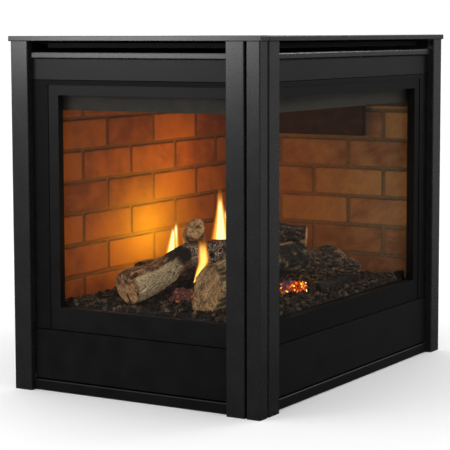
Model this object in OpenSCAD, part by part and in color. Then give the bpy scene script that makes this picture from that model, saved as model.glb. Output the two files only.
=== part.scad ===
// Corner gas fireplace: two glass faces that meet at one corner, a brick-lined firebox
// with a log set, and a valve compartment behind two drop-down doors.
// +Z is up. The origin is on the floor, at the centre of the cabinet's footprint.
// The long glass face looks along -Y, the short glass face along -X.
// Pieces on a glass face are drawn in that face's own axes: u along the face from the glass
// corner, v inwards from the face plane, z up. on_front() and on_end() put them in place.

/* [Cabinet] */
// Length of the long glass face
front_w = 1080; // [960:1:1300]
// Length of the short glass face
end_w = 760; // [640:1:920]
// Overall height
cabinet_h = 945; // [860:1:1140]
// Thickness of the cabinet's sheet steel
sheet = 1.5; // [1:0.1:2]
// Thickness of the door panels' sheet steel
door_sheet = 1; // [0.8:0.1:1.2]
// Outside radius of a folded edge
fold_r = 3; // [2:0.1:4]

/* [Corner and posts] */
// Width of each leg of the glass corner's post
leg_w = 39; // [30:1:50]
// Width of the dark groove beside the corner post
groove_w = 6; // [3:0.5:10]
// Width of the flat strip beside the groove
strip_w = 53; // [40:1:60]
// Width of the post at the far end of each face
post_w = 55; // [45:1:64]
// Depth of an end post's outer side
post_d = 40; // [30:1:60]

/* [Top] */
// Height of the cap's band
cap_h = 14; // [10:1:24]
// How far the cap stands out over the faces
cap_over = 4; // [2:0.5:8]
// Width of the cap's top flange
cap_flange = 30; // [20:1:45]
// Gap between the two lengths of cap
cap_joint = 2; // [1:0.5:4]
// Height of the open air slot under the cap
air_gap = 28; // [20:1:40]
// Height of the hood rail
rail_h = 18; // [12:1:26]
// Depth of the hood rail
rail_d = 8; // [6:0.5:10]
// Height of the plain panel under the hood rail
upper_h = 54; // [40:1:80]

/* [Panels and doors] */
// How far the panels are set back from the face plane
panel_v = 20; // [18:0.5:24]
// How far the bottom trims are set back
trim_v = 14; // [12:0.5:15]
// Height of the shadow gap under a bottom trim
trim_z = 3.5; // [2:0.5:8]
// Top of the bottom trims
trim_top = 30; // [28:1:40]
// How far the door panels are set back
door_v = 18; // [17:0.5:19]
// Bottom edge of the doors
door_z = 34; // [34:0.5:44]
// Top edge of the doors
door_top = 166; // [150:1:180]
// Height of the doors' hinge line
hinge_z = 38; // [38:0.5:48]
// Radius of a door's hinge pin
hinge_r = 1.5; // [1.2:0.1:1.6]
// Running clearance on the radius of a pin
running = 0.05; // [0.03:0.01:0.08]

/* [Glass] */
// Bottom of the glass opening
open_z = 228; // [215:1:250]
// Height of everything over the glass opening
header_h = 155; // [150:1:190]
// Width of the face of a glass frame's stile
stile_w = 34; // [26:1:44]
// Width of the stile beside the corner post, most of which the strip hides
corner_stile_w = 20; // [18:1:34]
// Depth of the frame's fold round the glass
reveal = 21; // [16:1:24]
// Thickness of the ceramic glass
pane_t = 5; // [4:0.5:6]
// How far the glass reaches past the opening
pane_lap = 28; // [20:1:30]
// Width of the rope gasket
gasket_w = 9; // [6:0.5:12]
// Thickness of the rope gasket when clamped
gasket_t = 4; // [3:0.5:6]

/* [Firebox] */
// Height of the firebox floor
floor_z = 205; // [195:1:212]
// Height of the firebox ceiling above the glass opening
ceil_h = 18; // [16:1:24]
// Gap from the cabinet's back to the firebox
back_gap = 70; // [50:1:100]
// Gap from the cabinet's closed end to the firebox
end_gap = 85; // [60:1:110]
// Thickness of the moulded brick liners
brick_t = 25; // [18:1:35]
// Depth of the mortar joints
mortar_d = 4; // [2:0.5:6]
// Width of the mortar joints
mortar_w = 10; // [6:0.5:14]
// Height of one brick course with its joint
course_h = 86.4; // [70:0.1:110]
// Length of one brick with its joint
brick_l = 232; // [190:1:260]
// Gap between the brick liners and the ceiling
liner_gap = 51.5; // [30:0.5:80]
// How far the lintels hang down over the top of the glass opening
lintel_drop = 40; // [20:1:60]

/* [Burner and log set] */
// Height of the burner tray
tray_h = 21.5; // [16:0.5:30]
// Thickness of the ember and lava rock bed
bed_t = 8; // [5:0.5:15]
// Mean size of a piece of lava rock
rock_size = 13; // [9:1:18]
// Radius of a flame port
port_r = 1.6; // [1:0.1:2.5]

/* [Vent and gas] */
// Outside radius of the inner flue collar (4 inch pipe)
flue_r = 50.8; // [45:0.1:64]
// Outside radius of the outer air collar (6 5/8 inch pipe)
intake_r = 84.1; // [78:0.1:102]
// How far the outer collar stands out of the cabinet
intake_l = 40; // [30:1:60]
// How far the inner collar stands out past the outer one
flue_more = 12; // [5:1:25]
// Wall of the collars
collar_t = 1; // [0.8:0.1:1.5]
// Radius of the gas line hole in the closed end
gas_hole_r = 19; // [14:0.5:25]
// Radius of the burner's mixing tube
mixer_r = 16; // [12:0.5:20]
// Radius of the gas pipe
pipe_r = 7; // [5:0.5:9]
// Radius of the gas inlet's male end (1/2 inch pipe)
inlet_r = 10.6; // [8:0.1:13.3]

/* [Hidden] */
$fn = 48;
e = 1; // overshoot of a cut

x0 = -front_w / 2;
y0 = -end_w / 2;
x1 = front_w / 2;
y1 = end_w / 2;

// Face zones and heights
strip_fold = panel_v - sheet; // the folds end on the corner angle, which the panels lie on
strip_u = leg_w + groove_w;
strip_end = strip_u + strip_w;
cap_z = cabinet_h - cap_h;
slot_z = cap_z - air_gap;
rail_z = slot_z - rail_h;
upper_z = rail_z - upper_h;

// Glass frame, shared by both faces
frame_v = panel_v + 2;
glass_v = frame_v + reveal;
seal_v = glass_v + pane_t;
firebox_v = seal_v + gasket_t;
inner_v = firebox_v + sheet;
frame_u = 90;
open_u = frame_u + stile_w;
frame_far = post_w + 49;
open_far = frame_far + stile_w;
frame_z = door_top + 2;
open_top = cabinet_h - header_h;
frame_top = open_top + stile_w - 1;
lip_h = 10;

// Firebox, in cabinet axes
fx0 = x0 + inner_v;
fy0 = y0 + inner_v;
fx1 = x1 - end_gap;
fy1 = y1 - back_gap;
hearth_z = floor_z + sheet;
ceil_z = open_top + ceil_h;
brick_x = fx1 - brick_t;
brick_y = fy1 - brick_t;
liner_z = hearth_z + 0.5;
liner_top = ceil_z - liner_gap;
course_0 = open_z - 24.3; // height of a mortar joint
lintel_v = inner_v + 2.5;
lintel_bottom = open_top - lintel_drop;

// Exhaust baffle and vent
baffle_y0 = -186.5;
baffle_y1 = 142.5;
baffle_d = 28;
baffle_z = ceil_z - 162;
vent_y = (baffle_y0 + baffle_y1) / 2;
vent_z = ceil_z - 105;

// Burner tray, bed and log supports
tray_gap = 5;
tx0 = fx0 + tray_gap;
ty0 = fy0 + tray_gap;
tx1 = brick_x - tray_gap;
ty1 = brick_y - tray_gap;
deck_z = hearth_z + tray_h;
bed_z = deck_z + bed_t;
// Firebox length and depth that the log set was moulded for: a log's place scales with them
base_l = 916.5;
base_d = 611.5;
fit = [(brick_x - fx0) / base_l, (brick_y - fy0) / base_d];

// Log supports: place from the firebox's glass corner, and height over the bed
SUPPORTS = [[294.5, 251.5, 95], [240, 116, 58]];
support_w = 16;

// The log set: end a, end b, radius at a, radius at b, seed of its bark, place and height of a
// hump, and how far the cut at end a slants back at the top
FRONT_LEFT = [[50.5, 411.5, 36], [246.5, 350.5, 108], 43, 33, 1, 0, 0, 0];
CORNER = [[52, 200, 43], [368.5, 58.5, 121], 63, 39, 2, 0.35, 16, 72];
CHARRED = [[246.5, 359.5, 114], [336.5, 146.5, 131], 33, 33, 6, 0, 0, 0];
STUB = [[188.8, 286.5, 196], [436.5, 435.5, 108], 27, 31, 4, 0, 0, 0];
TOP = [[313.5, 201.5, 183], [379.5, 51.5, 173], 28, 28, 3, 0, 0, 0];
RIGHT = [[391.5, 111.5, 94], [691.5, 62.5, 43], 36, 19, 5, 0.6, 36, 0];
LOW = [[476.5, 68.5, 13], [714.5, 80.5, 16], 18, 17, 6, 0, 0, 0];
BACK = [[231.5, 476.5, 45], [486.5, 436.5, 36], 46, 41, 7, 0, 0, 0];
log_sides = 12;
log_rings = 9;

// Valve compartment, placed from the closed end and from the front
pipe_y = y0 + 112;
pipe_z = 120;
valve_x0 = x1 - 280;
valve_x1 = valve_x0 + 90;
valve_y0 = y0 + 75;
valve_y1 = y0 + 140;
mixer_x0 = valve_x0 - 200;
mixer_x1 = valve_x0 - 55;
cock_x = valve_x1 + 45;
knob_x = valve_x0 + 66;
flame_x = valve_x0 + 22;
knob_z = 112;
board_x0 = valve_x0 - 142;
board_x1 = board_x0 + 104;
board_y = y0 + 68;
igniter_x = board_x0 + 30;
rocker_x = board_x0 + 74;
board_z = 98;
pilot_x = fx0 + 718.5 * fit.x;
pilot_y = fy0 + 186.5 * fit.y;

// Glass latches: distance from each face's glass corner
latch_end_u = [180, end_w - 180];
latch_front_u = [180, front_w - 140];
latch_v = glass_v + 14;
latch_z = frame_z - 33;
latch_r = 2;
latch_w = 16;

// ---------------------------------------------------------------- shared shapes

module on_front() {
    translate([x0, y0, 0]) children();
}

module on_end() {
    translate([x0, y0, 0]) mirror([1, -1, 0]) children();
}

// A box between two corners
module block(a, b) {
    translate(a) cube(b - a);
}

// A flat outline with rounded corners
module round_rect(a, b, r) {
    translate([a.x + r, a.y]) square([b.x - a.x - 2 * r, b.y - a.y]);
    translate([a.x, a.y + r]) square([b.x - a.x, b.y - a.y - 2 * r]);
    for (x = [a.x + r, b.x - r], y = [a.y + r, b.y - r])
        translate([x, y]) circle(r, $fn = 32);
}

// The outline of a folded sheet channel, closed all round
module channel(a, b, t = sheet) {
    difference() {
        round_rect(a, b, fold_r);
        round_rect(a + [t, t], b - [t, t], fold_r - t);
    }
}

// A sheet on a glass face, with a window through it
module window_sheet(a, b, wa, wb, v, t) {
    difference() {
        block([a.x, v, a.y], [b.x, v + t, b.y]);
        block([wa.x, v - e, wa.y], [wb.x, v + t + e, wb.y]);
    }
}

// A rod along +X from a, of length l
module rod_x(a, r, l) {
    translate(a) rotate([0, 90, 0]) cylinder(r = r, h = l);
}

// A rod along -Y from a, of length l
module rod_y(a, r, l) {
    translate(a) rotate([90, 0, 0]) cylinder(r = r, h = l);
}

// ---------------------------------------------------------------- cabinet

// Folded floor pan that the whole fireplace stands on
module base_pan() {
    v = panel_v + 0.5;
    flange_h = trim_top - 2;
    color("#2c2c2e") difference() {
        block([x0 + v, y0 + v, 0], [x1 - sheet, y1 - sheet, flange_h]);
        block([x0 + v + sheet, y0 + v + sheet, sheet], [x1 - 2 * sheet, y1 - 2 * sheet, cap_z]);
        for (x = [-front_w / 3, front_w / 3], y = [-end_w / 4, end_w / 4])
            translate([x, y, -e]) cylinder(r = 5, h = sheet + 2 * e);
    }
}

// Inner angle that the corner post and the two strips are screwed to
module corner_angle() {
    a = strip_fold;
    color("#161617") {
        block([x0 + a, y0 + a, 0], [x0 + strip_end - 2, y0 + a + sheet, cap_z]);
        block([x0 + a, y0 + a + sheet, 0], [x0 + a + sheet, y0 + strip_end - 2, cap_z]);
    }
}

// L-shaped post at the glass corner, with both legs folded in at their ends
module corner_post() {
    color("#3a3939") translate([x0, y0, 0]) linear_extrude(cap_z) difference() {
        channel([0, 0], [leg_w, leg_w]);
        translate([strip_fold, strip_fold]) square(leg_w);
    }
}

module strip() {
    color("#3c3b3b") linear_extrude(cap_z) difference() {
        channel([strip_u, 0], [strip_end, leg_w]);
        translate([strip_u - e, strip_fold]) square([strip_w + 2 * e, leg_w]);
    }
}

module corner_strips() {
    on_front() strip();
    on_end() strip();
}

// Post at the far end of a face: a channel whose inner fold stops at the panels
module end_post(len) {
    color("#3a3939") linear_extrude(cap_z) difference() {
        channel([len - post_w, 0], [len, post_d + 20]);
        translate([len - post_w - e, panel_v]) square([post_w + e - sheet - 0.01, post_d + 20]);
        translate([len - post_w - e, post_d]) square([post_w + 2 * e, 21]);
    }
}

module end_posts() {
    on_front() end_post(front_w);
    on_end() end_post(end_w);
}

// The closed back and end: one folded sheet, with the gas line hole and the vent hole
module outer_wrap() {
    color("#303032") difference() {
        union() {
            block([x0 + post_d, y1 - sheet, 0], [x1, y1, cap_z]);
            block([x1 - sheet, y0 + post_d, 0], [x1, y1, cap_z]);
        }
        rod_x([x1 - 20, pipe_y, pipe_z], gas_hole_r, 40);
        rod_x([x1 - 20, vent_y, vent_z], intake_r - collar_t, 40);
    }
}

// Pan head screws of the wrap and of the outer vent collar's flange
module wrap_screws() {
    color("#1d1d1f") {
        for (x = [x0 + 80, 0, x1 - 60], z = [40, cap_z / 2, cap_z - 40])
            translate([x, y1, z]) rotate([-90, 0, 0]) cylinder(r = 4.5, h = 2.2);
        for (y = [y0 + 80, y1 - 60], z = [40, cap_z / 2, cap_z - 40])
            rod_x([x1, y, z], 4.5, 2.2);
        for (a = [45:90:315])
            rod_x([x1 + sheet, vent_y + (intake_r + 8) * cos(a), vent_z + (intake_r + 8) * sin(a)], 3.5, 2);
    }
}

// ---------------------------------------------------------------- top

// Section of the cap: band, top flange and a hem that sits on the posts
module cap_section() {
    w = cap_over + cap_flange;
    difference() {
        round_rect([0, 0], [w + 10, cap_h], 2);
        round_rect([sheet, sheet], [w + 20, cap_h - sheet], 0.5);
        translate([w, -e]) square([20, cap_h + 2 * e]);
        translate([cap_over + 6, -e]) square([w, sheet + e + 0.5]);
    }
}

// A length of cap along u
module cap_length(u_a, u_b) {
    translate([u_a, -cap_over, cap_z]) rotate([90, 0, 90]) linear_extrude(u_b - u_a) cap_section();
}

// The short face's cap, which turns the glass corner
module cap_end() {
    color("#747474") difference() {
        union() {
            on_end() cap_length(-cap_over, end_w + cap_over);
            on_front() cap_length(-cap_over + sheet, leg_w + 1);
        }
        block([x0 + 7, y0 + 7, cap_z - e], [x0 + leg_w, y0 + leg_w, cap_z + sheet + 0.1]);
    }
}

module cap_front() {
    color("#5a5a5a") on_front() cap_length(leg_w + 1 + cap_joint, front_w + cap_over);
}

// Flat top sheet under the cap's flanges, turned down at the closed sides
module top_plate() {
    z = cabinet_h - 2 * sheet;
    a = 7;
    color("#3a3a3b") {
        block([x0 + a, y0 + a, z], [x1 - 2, y1 - 2, z + sheet]);
        block([x0 + post_d + 5, y1 - 2 - sheet, cap_z - 8], [x1 - 2, y1 - 2, z]);
        block([x1 - 2 - sheet, y0 + post_d + 5, cap_z - 8], [x1 - 2, y1 - 2 - sheet, z]);
    }
}

// Heat shield behind the air slot, hung from the top plate
module top_shield() {
    v = panel_v + 14;
    z = cap_z - 6;
    color("#232324") {
        block([x0 + v, y0 + v, z], [x1 - v, y1 - v, z + sheet]);
        block([x0 + strip_end, y0 + v, z - 11], [x1 - strip_end, y0 + v + sheet, z]);
        block([x0 + v, y0 + strip_end, z - 11], [x0 + v + sheet, y1 - strip_end, z]);
        for (x = [x0 + 120, x1 - 120], y = [y0 + 120, y1 - 120])
            block([x - 10, y - 10, z + sheet], [x + 10, y + 10, cabinet_h - 2 * sheet]);
    }
}

// Rounded rail that throws the hot air forward, open at the back
module hood_rail(len) {
    v = panel_v - rail_d;
    color("#6a6a6b") translate([strip_end + 1, 0, rail_z]) rotate([90, 0, 90])
        linear_extrude(len - post_w - 3 - strip_end - 1) difference() {
            round_rect([v, 0], [panel_v + 10, rail_h], 4);
            round_rect([v + sheet, sheet], [panel_v + 10, rail_h - sheet], 4 - sheet);
            translate([panel_v, -e]) square([20, rail_h + 2 * e]);
        }
}

module hood_rails() {
    on_front() hood_rail(front_w);
    on_end() hood_rail(end_w);
}

// Plain panel under the rail, folded in along its top and bottom edges
module upper_panel(len) {
    a = panel_v + 2;
    color("#434344") {
        block([a, panel_v, upper_z], [len - post_w + 10, panel_v + sheet, slot_z]);
        block([a + 40, panel_v + sheet, upper_z], [len - post_w + 10, panel_v + 12, upper_z + sheet]);
        block([a + 40, panel_v + sheet, slot_z - sheet], [len - post_w + 10, panel_v + 12, slot_z]);
    }
}

module upper_panels() {
    on_front() upper_panel(front_w);
    on_end() upper_panel(end_w);
}

// Black surround of the glass: two stiles joined across the top
module surround(len) {
    a = panel_v + 2;
    color("#171618") window_sheet([a, frame_z], [len - post_w + 10, upper_z - 1.5],
        [frame_u + 2, frame_z - e], [len - frame_far - 2, open_top + 27], panel_v, sheet);
}

module surrounds() {
    on_front() surround(front_w);
    on_end() surround(end_w);
}

// Bottom trim over the floor pan's edge
module bottom_trim(len) {
    color("#343335") translate([strip_end, 0, trim_z]) rotate([90, 0, 90])
        linear_extrude(len - post_w - strip_end) difference() {
            round_rect([trim_v, 0], [trim_v + 20, trim_top - trim_z], fold_r);
            round_rect([trim_v + sheet, -10], [trim_v + 30, trim_top - trim_z - sheet], fold_r - sheet);
            translate([panel_v + sheet, -e]) square(40);
        }
}

module bottom_trims() {
    on_front() bottom_trim(front_w);
    on_end() bottom_trim(end_w);
}

// ---------------------------------------------------------------- glass

// Folded frame round the glass, open at the back, with a lip that the latches pull on
module glass_frame(len, latches) {
    ua = frame_u;
    ub = len - frame_far;
    oa = frame_u + corner_stile_w;
    ob = len - open_far;
    color("#2b2b2d") difference() {
        union() {
            difference() {
                block([ua, frame_v, frame_z], [ub, seal_v, frame_top]);
                block([ua + sheet, frame_v + sheet, frame_z + sheet],
                    [ub - sheet, seal_v + e, frame_top - sheet]);
            }
            block([oa - sheet, frame_v, open_z - sheet], [ob + sheet, glass_v, open_top + sheet]);
            for (u = latches)
                block([u - 20, seal_v - sheet, frame_z - lip_h], [u + 20, seal_v, frame_z + sheet]);
        }
        block([oa, frame_v - e, open_z], [ob, seal_v + e, open_top]);
    }
}

module glass_frame_front() {
    on_front() glass_frame(front_w, latch_front_u);
}

module glass_frame_end() {
    on_end() glass_frame(end_w, latch_end_u);
}

// Clear ceramic glass, clamped between the frame and the gasket
module glass_pane(len) {
    color("#a08060", 0.3) block([open_u - pane_lap, glass_v, open_z - 14],
        [len - open_far + pane_lap, seal_v, open_top + 12]);
}

module glass_pane_front() {
    on_front() glass_pane(front_w);
}

module glass_pane_end() {
    on_end() glass_pane(end_w);
}

// Flat rope gasket round the edge of the glass
module gasket(len) {
    a = [open_u - pane_lap, open_z - 14];
    b = [len - open_far + pane_lap, open_top + 12];
    color("#4a4844") window_sheet(a, b, a + [gasket_w, gasket_w], b - [gasket_w, gasket_w],
        seal_v, gasket_t);
}

module glass_gaskets() {
    on_front() gasket(front_w);
    on_end() gasket(end_w);
}

// ---------------------------------------------------------------- firebox

// Flange round the firebox's mouth that the gasket seals on
module firebox_frame(len, u_a, u_b) {
    color("#1b1b1c") window_sheet([u_a, floor_z - 45], [u_b, ceil_z + sheet],
        [open_u - pane_lap + gasket_w + 1, open_z - 4],
        [len - open_far + pane_lap - gasket_w - 1, open_top + 2], firebox_v, sheet);
}

module firebox_frames() {
    on_front() firebox_frame(front_w, firebox_v, front_w - end_gap + sheet);
    on_end() firebox_frame(end_w, inner_v, end_w - back_gap + sheet);
}

// Floor sheet, with the hole for the mixing tube
module firebox_floor() {
    color("#1d1d1e") difference() {
        block([fx0, fy0, floor_z], [fx1 + sheet, fy1 + sheet, hearth_z]);
        translate([mixer_x0, pipe_y, floor_z - e]) cylinder(r = mixer_r, h = sheet + 2 * e);
    }
}

// Back and end walls: one folded sheet, with the flue outlet
module firebox_wrap() {
    color("#1d1d1e") difference() {
        union() {
            block([fx0, fy1, hearth_z], [fx1 + sheet, fy1 + sheet, ceil_z]);
            block([fx1, fy0, hearth_z], [fx1 + sheet, fy1 + sheet, ceil_z]);
        }
        rod_x([fx1 - 20, vent_y, vent_z], flue_r, 40);
    }
}

module firebox_top() {
    color("#1d1d1e") block([fx0, fy0, ceil_z], [fx1 + sheet, fy1 + sheet, ceil_z + sheet]);
}

// Sheets that hang behind the top of the glass, and the angle that holds the end liner
module lintels() {
    v = lintel_v;
    color("#3a3c36") {
        block([x0 + v, y0 + v, lintel_bottom], [brick_x - 0.5, y0 + v + sheet, ceil_z]);
        block([x0 + v, y0 + v + sheet, lintel_bottom], [x0 + v + sheet, brick_y - 0.5, ceil_z]);
        for (y = [[y0 + v + sheet + 1, baffle_y0 - 0.5], [baffle_y1 + 0.5, brick_y - 1]])
            block([brick_x - sheet, y[0], liner_top - 22], [brick_x, y[1], ceil_z]);
    }
}

// Hood that hangs in front of the flue outlet, open below
module exhaust_baffle() {
    a = [brick_x - baffle_d, baffle_y0, baffle_z];
    b = [brick_x, baffle_y1, ceil_z];
    color("#3a2a24") difference() {
        block(a, b);
        block([a.x + sheet, a.y + sheet, a.z - e], [b.x + e, b.y - sheet, ceil_z - sheet]);
    }
}

// Brick relief of one liner: running bond, each brick clipped to the liner's outline
module brick_relief(s_a, s_b, s_joint) {
    z_a = liner_z;
    z_b = liner_top;
    k0 = floor((z_a - course_0) / course_h);
    k1 = floor((z_b - course_0) / course_h);
    for (k = [k0:k1]) {
        za = max(z_a, course_0 + k * course_h + mortar_w / 2);
        zb = min(z_b, course_0 + (k + 1) * course_h - mortar_w / 2);
        shift = s_joint + (k % 2 == 0 ? 0 : brick_l / 2);
        i0 = floor((s_a - shift) / brick_l);
        i1 = floor((s_b - shift) / brick_l);
        for (i = [i0:i1]) {
            sa = max(s_a, shift + i * brick_l + mortar_w / 2);
            sb = min(s_b, shift + (i + 1) * brick_l - mortar_w / 2);
            if (sb - sa > 3 && zb - za > 3)
                translate([sa, 0, za]) cube([sb - sa, mortar_d, zb - za]);
        }
    }
}

// Liner of the long back wall
module brick_liner_back() {
    a = fx0 + tray_gap;
    color("#9a5524") {
        block([a, brick_y + mortar_d, liner_z], [brick_x, fy1, liner_top]);
        translate([0, brick_y, 0]) brick_relief(a, brick_x, -117);
    }
}

// Liner of the end wall, with the flue outlet behind the baffle
module brick_liner_end() {
    color("#7a4a26") difference() {
        union() {
            block([brick_x + mortar_d, fy0 + 0.5, liner_z], [fx1, fy1, liner_top]);
            translate([brick_x, 0, 0]) mirror([1, -1, 0]) brick_relief(fy0 + 0.5, brick_y, -129);
        }
        rod_x([brick_x - e, vent_y, vent_z], flue_r, brick_t + 2 * e);
    }
}

// Inner collar: carries the flue gas from the firebox out through the cabinet
module flue_collar() {
    len = x1 + sheet + intake_l + flue_more - fx1 - sheet;
    color("#8a8c8e") difference() {
        union() {
            rod_x([fx1 + sheet, vent_y, vent_z], flue_r, len);
            rod_x([fx1 + sheet, vent_y, vent_z], flue_r + 12, sheet);
        }
        rod_x([fx1, vent_y, vent_z], flue_r - collar_t, len + 20);
    }
}

// Outer collar: the combustion air comes in round the flue
module intake_collar() {
    color("#8a8c8e") difference() {
        union() {
            rod_x([x1, vent_y, vent_z], intake_r, sheet + intake_l);
            rod_x([x1, vent_y, vent_z], intake_r + 16, sheet);
        }
        rod_x([x1 - e, vent_y, vent_z], intake_r - collar_t, intake_l + 20);
    }
}

// Four angles that carry the firebox on the floor pan
module support_legs() {
    w = 30;
    color("#2c2c2e") for (x = [fx0 + 12, fx1 - 12 - w], y = [fy0 + 12, fy1 - 12 - w]) {
        block([x, y, sheet], [x + w, y + 2, floor_z]);
        block([x, y + 2, sheet], [x + 2, y + w, floor_z]);
    }
}

// ---------------------------------------------------------------- burner and log set

// Post under a log, through the bed down to the tray
module log_supports(grow = 0) {
    w = support_w / 2 + grow;
    for (s = SUPPORTS)
        block(place([s.x, s.y, 0]) - [w, w, bed_t + sheet], place(s) + [w, w, 0]);
}

// Steel burner tray with rows of flame ports, the log supports and an end stop
module burner_tray() {
    color("#3a3836") difference() {
        union() {
            block([tx0, ty0, hearth_z], [tx1, ty1, deck_z]);
            log_supports();
            block([tx1 - 50, ty0, deck_z], [tx1 - 8, ty0 + 14, deck_z + 24]);
        }
        block([tx0 + sheet, ty0 + sheet, hearth_z - e], [tx1 - sheet, ty1 - sheet, deck_z - sheet]);
        for (i = [0:14], y = [-210, -60])
            translate([-380 + i * 40, y, deck_z - 5]) cylinder(r = port_r, h = 10, $fn = 16);
    }
}

function unit(v) = v / norm(v);

// Repeatable scatter between 0 and 1
function scatter(i, j) = let (s = sin(i * 127.1 + j * 311.7) * 43758.5453) s - floor(s);

// A place in the firebox, from its glass corner and the top of the bed
function place(p) = [fx0 + p.x * fit.x, fy0 + p.y * fit.y, bed_z + p.z];

// Points of a log: rings along its axis, each with its own bark outline
function log_points(l, m = log_rings, n = log_sides) =
    let (a = place(l[0]), b = place(l[1]), seed = l[4],
         d = unit(b - a), s = unit(cross(d, [0, 0, 1])), w = cross(s, d))
    [for (i = [0:m], j = [0:n - 1])
        let (t = i / m, q = 360 * j / n,
             bow = s * 6 * sin(180 * t + seed * 40) + w * 3 * sin(360 * t + seed * 90),
             hump = l[6] * exp(-pow((t - l[5]) / 0.2, 2)) * max(0, sin(q)),
             end = (i == 0 || i == m) ? 0.94 : 1,
             bark = 1 + 0.05 * sin(2 * q + seed * 77 + i * 35) + 0.04 * sin(5 * q + seed * 31 + i * 61),
             r = (l[2] + (l[3] - l[2]) * t) * end * bark + hump,
             back = l[7] * (1 - t) * (0.5 + 0.5 * sin(q) * r / l[2]))
        a + (b - a) * t + d * back + bow + (s * cos(q) + w * sin(q)) * r];

// Side faces of a closed stack of rings, and its two end caps
function tube_faces(m, n) = concat(
    [for (i = [0:m - 1], j = [0:n - 1]) [i * n + j, (i + 1) * n + (j + 1) % n, (i + 1) * n + j]],
    [for (i = [0:m - 1], j = [0:n - 1]) [i * n + j, i * n + (j + 1) % n, (i + 1) * n + (j + 1) % n]],
    [[for (j = [n - 1:-1:0]) j]],
    [[for (j = [0:n - 1]) m * n + j]]);

// One log as moulded, before it is cut to sit on its neighbours
module log_body(l) {
    difference() {
        polyhedron(log_points(l), tube_faces(log_rings, log_sides));
        block([x0, y0, floor_z - 50], [x1, y1, bed_z]);
    }
}

// The left log butts into the side of the charred log
module log_front_left() {
    color("#7d6a50") difference() {
        log_body(FRONT_LEFT);
        log_body(CHARRED);
    }
}

module log_corner() {
    color("#6f6448") difference() {
        log_body(CORNER);
        log_supports();
    }
}

// The charred log lies on a support and on the corner log
module log_charred() {
    color("#2e2622") difference() {
        log_body(CHARRED);
        log_body(CORNER);
        log_supports();
    }
}

// Stub with a sawn end that lies over the charred log and on the back log
module log_stub() {
    color("#8a745a") difference() {
        log_body(STUB);
        log_body(CHARRED);
        log_body(BACK);
    }
}

// The top log lies in notches over the charred log and the corner log
module log_top() {
    color("#5d4c3a") difference() {
        log_body(TOP);
        log_body(CHARRED);
        log_body(CORNER);
    }
}

// The right-hand log lies against the corner log and on the low log
module log_right() {
    color("#4e4636") difference() {
        log_body(RIGHT);
        log_body(CORNER);
        log_body(CHARRED);
        log_body(TOP);
        log_body(LOW);
    }
}

// Two half-buried logs: one low at the front, one at the back
module logs_low() {
    color("#3a2c26") {
        log_body(LOW);
        log_body(BACK);
    }
}

// Distance in plan from a point to the line of a log
function log_gap(p, l) =
    let (c = place(l[0]), d = place(l[1]), a = [c.x, c.y], b = [d.x, d.y],
         t = max(0, min(1, (p - a) * (b - a) / ((b - a) * (b - a)))))
    norm(p - a - t * (b - a)) - max(l[2], l[3]);

// A piece of lava rock on the bed
module rock(p, size, seed) {
    n = 5;
    points = [for (i = [0, 1, 2], j = [0:n - 1])
        let (q = -360 * j / n + seed * 50 + i * 30,
             r = size * [0.42, 0.56, 0.26][i] * (0.8 + 0.4 * scatter(seed + i, j)))
        [p.x + r * cos(q), p.y + r * sin(q),
         bed_z + size * [-0.1, 0.3, 0.75][i] * (0.8 + 0.3 * scatter(seed, 9))]];
    polyhedron(points, tube_faces(2, n));
}

// Bed of embers with loose lava rock where no log lies
module lava_bed() {
    step = rock_size * 3.5;
    m = 16;
    low_logs = [FRONT_LEFT, CORNER, LOW, BACK];
    color("#3a362e") {
        difference() {
            block([tx0 + 2, ty0 + 2, deck_z], [tx1 - 2, ty1 - 2, bed_z]);
            log_supports(0.2);
            block([tx1 - 51, ty0, deck_z - e], [tx1 - 7, ty0 + 15, bed_z + e]);
            translate([pilot_x, pilot_y, deck_z - e]) cylinder(r = 20, h = bed_t + 2 * e);
        }
        for (i = [0:floor((tx1 - tx0 - 2 * m) / step)], j = [0:floor((ty1 - ty0 - 2 * m) / step)])
            let (p = [tx0 + m + i * step + (j % 2) * step / 3, ty0 + m + j * step]
                     + [scatter(i, j), scatter(j, i)] * rock_size * 0.8,
                 near = min([for (l = low_logs) log_gap(p, l)]))
            if (near > 6 && near < 170 && p.x < tx1 - 62 && p.y < ty1 - m
                && norm(p - [pilot_x, pilot_y]) > 40
                && min([for (s = SUPPORTS) log_gap(p, [s, s, support_w, 0])]) > 14)
                rock(p, rock_size * (0.8 + 0.5 * scatter(i + 3, j + 5)), i * 7 + j);
    }
}

// Standing pilot: bracket, hood, thermocouple and sensor rod
module pilot_assembly() {
    x = pilot_x;
    y = pilot_y;
    color("#77736c") {
        translate([x, y, deck_z]) cylinder(r = 18, h = 2);
        translate([x, y, deck_z + 2]) cylinder(r = 6, h = 22);
        translate([x, y, deck_z + 24]) cylinder(r1 = 6, r2 = 3.5, h = 8);
        translate([x - 12, y, deck_z + 2]) cylinder(r = 2.4, h = 36);
        translate([x + 12, y, deck_z + 2]) cylinder(r = 2, h = 32);
    }
}

// ---------------------------------------------------------------- gas train and controls

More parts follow.
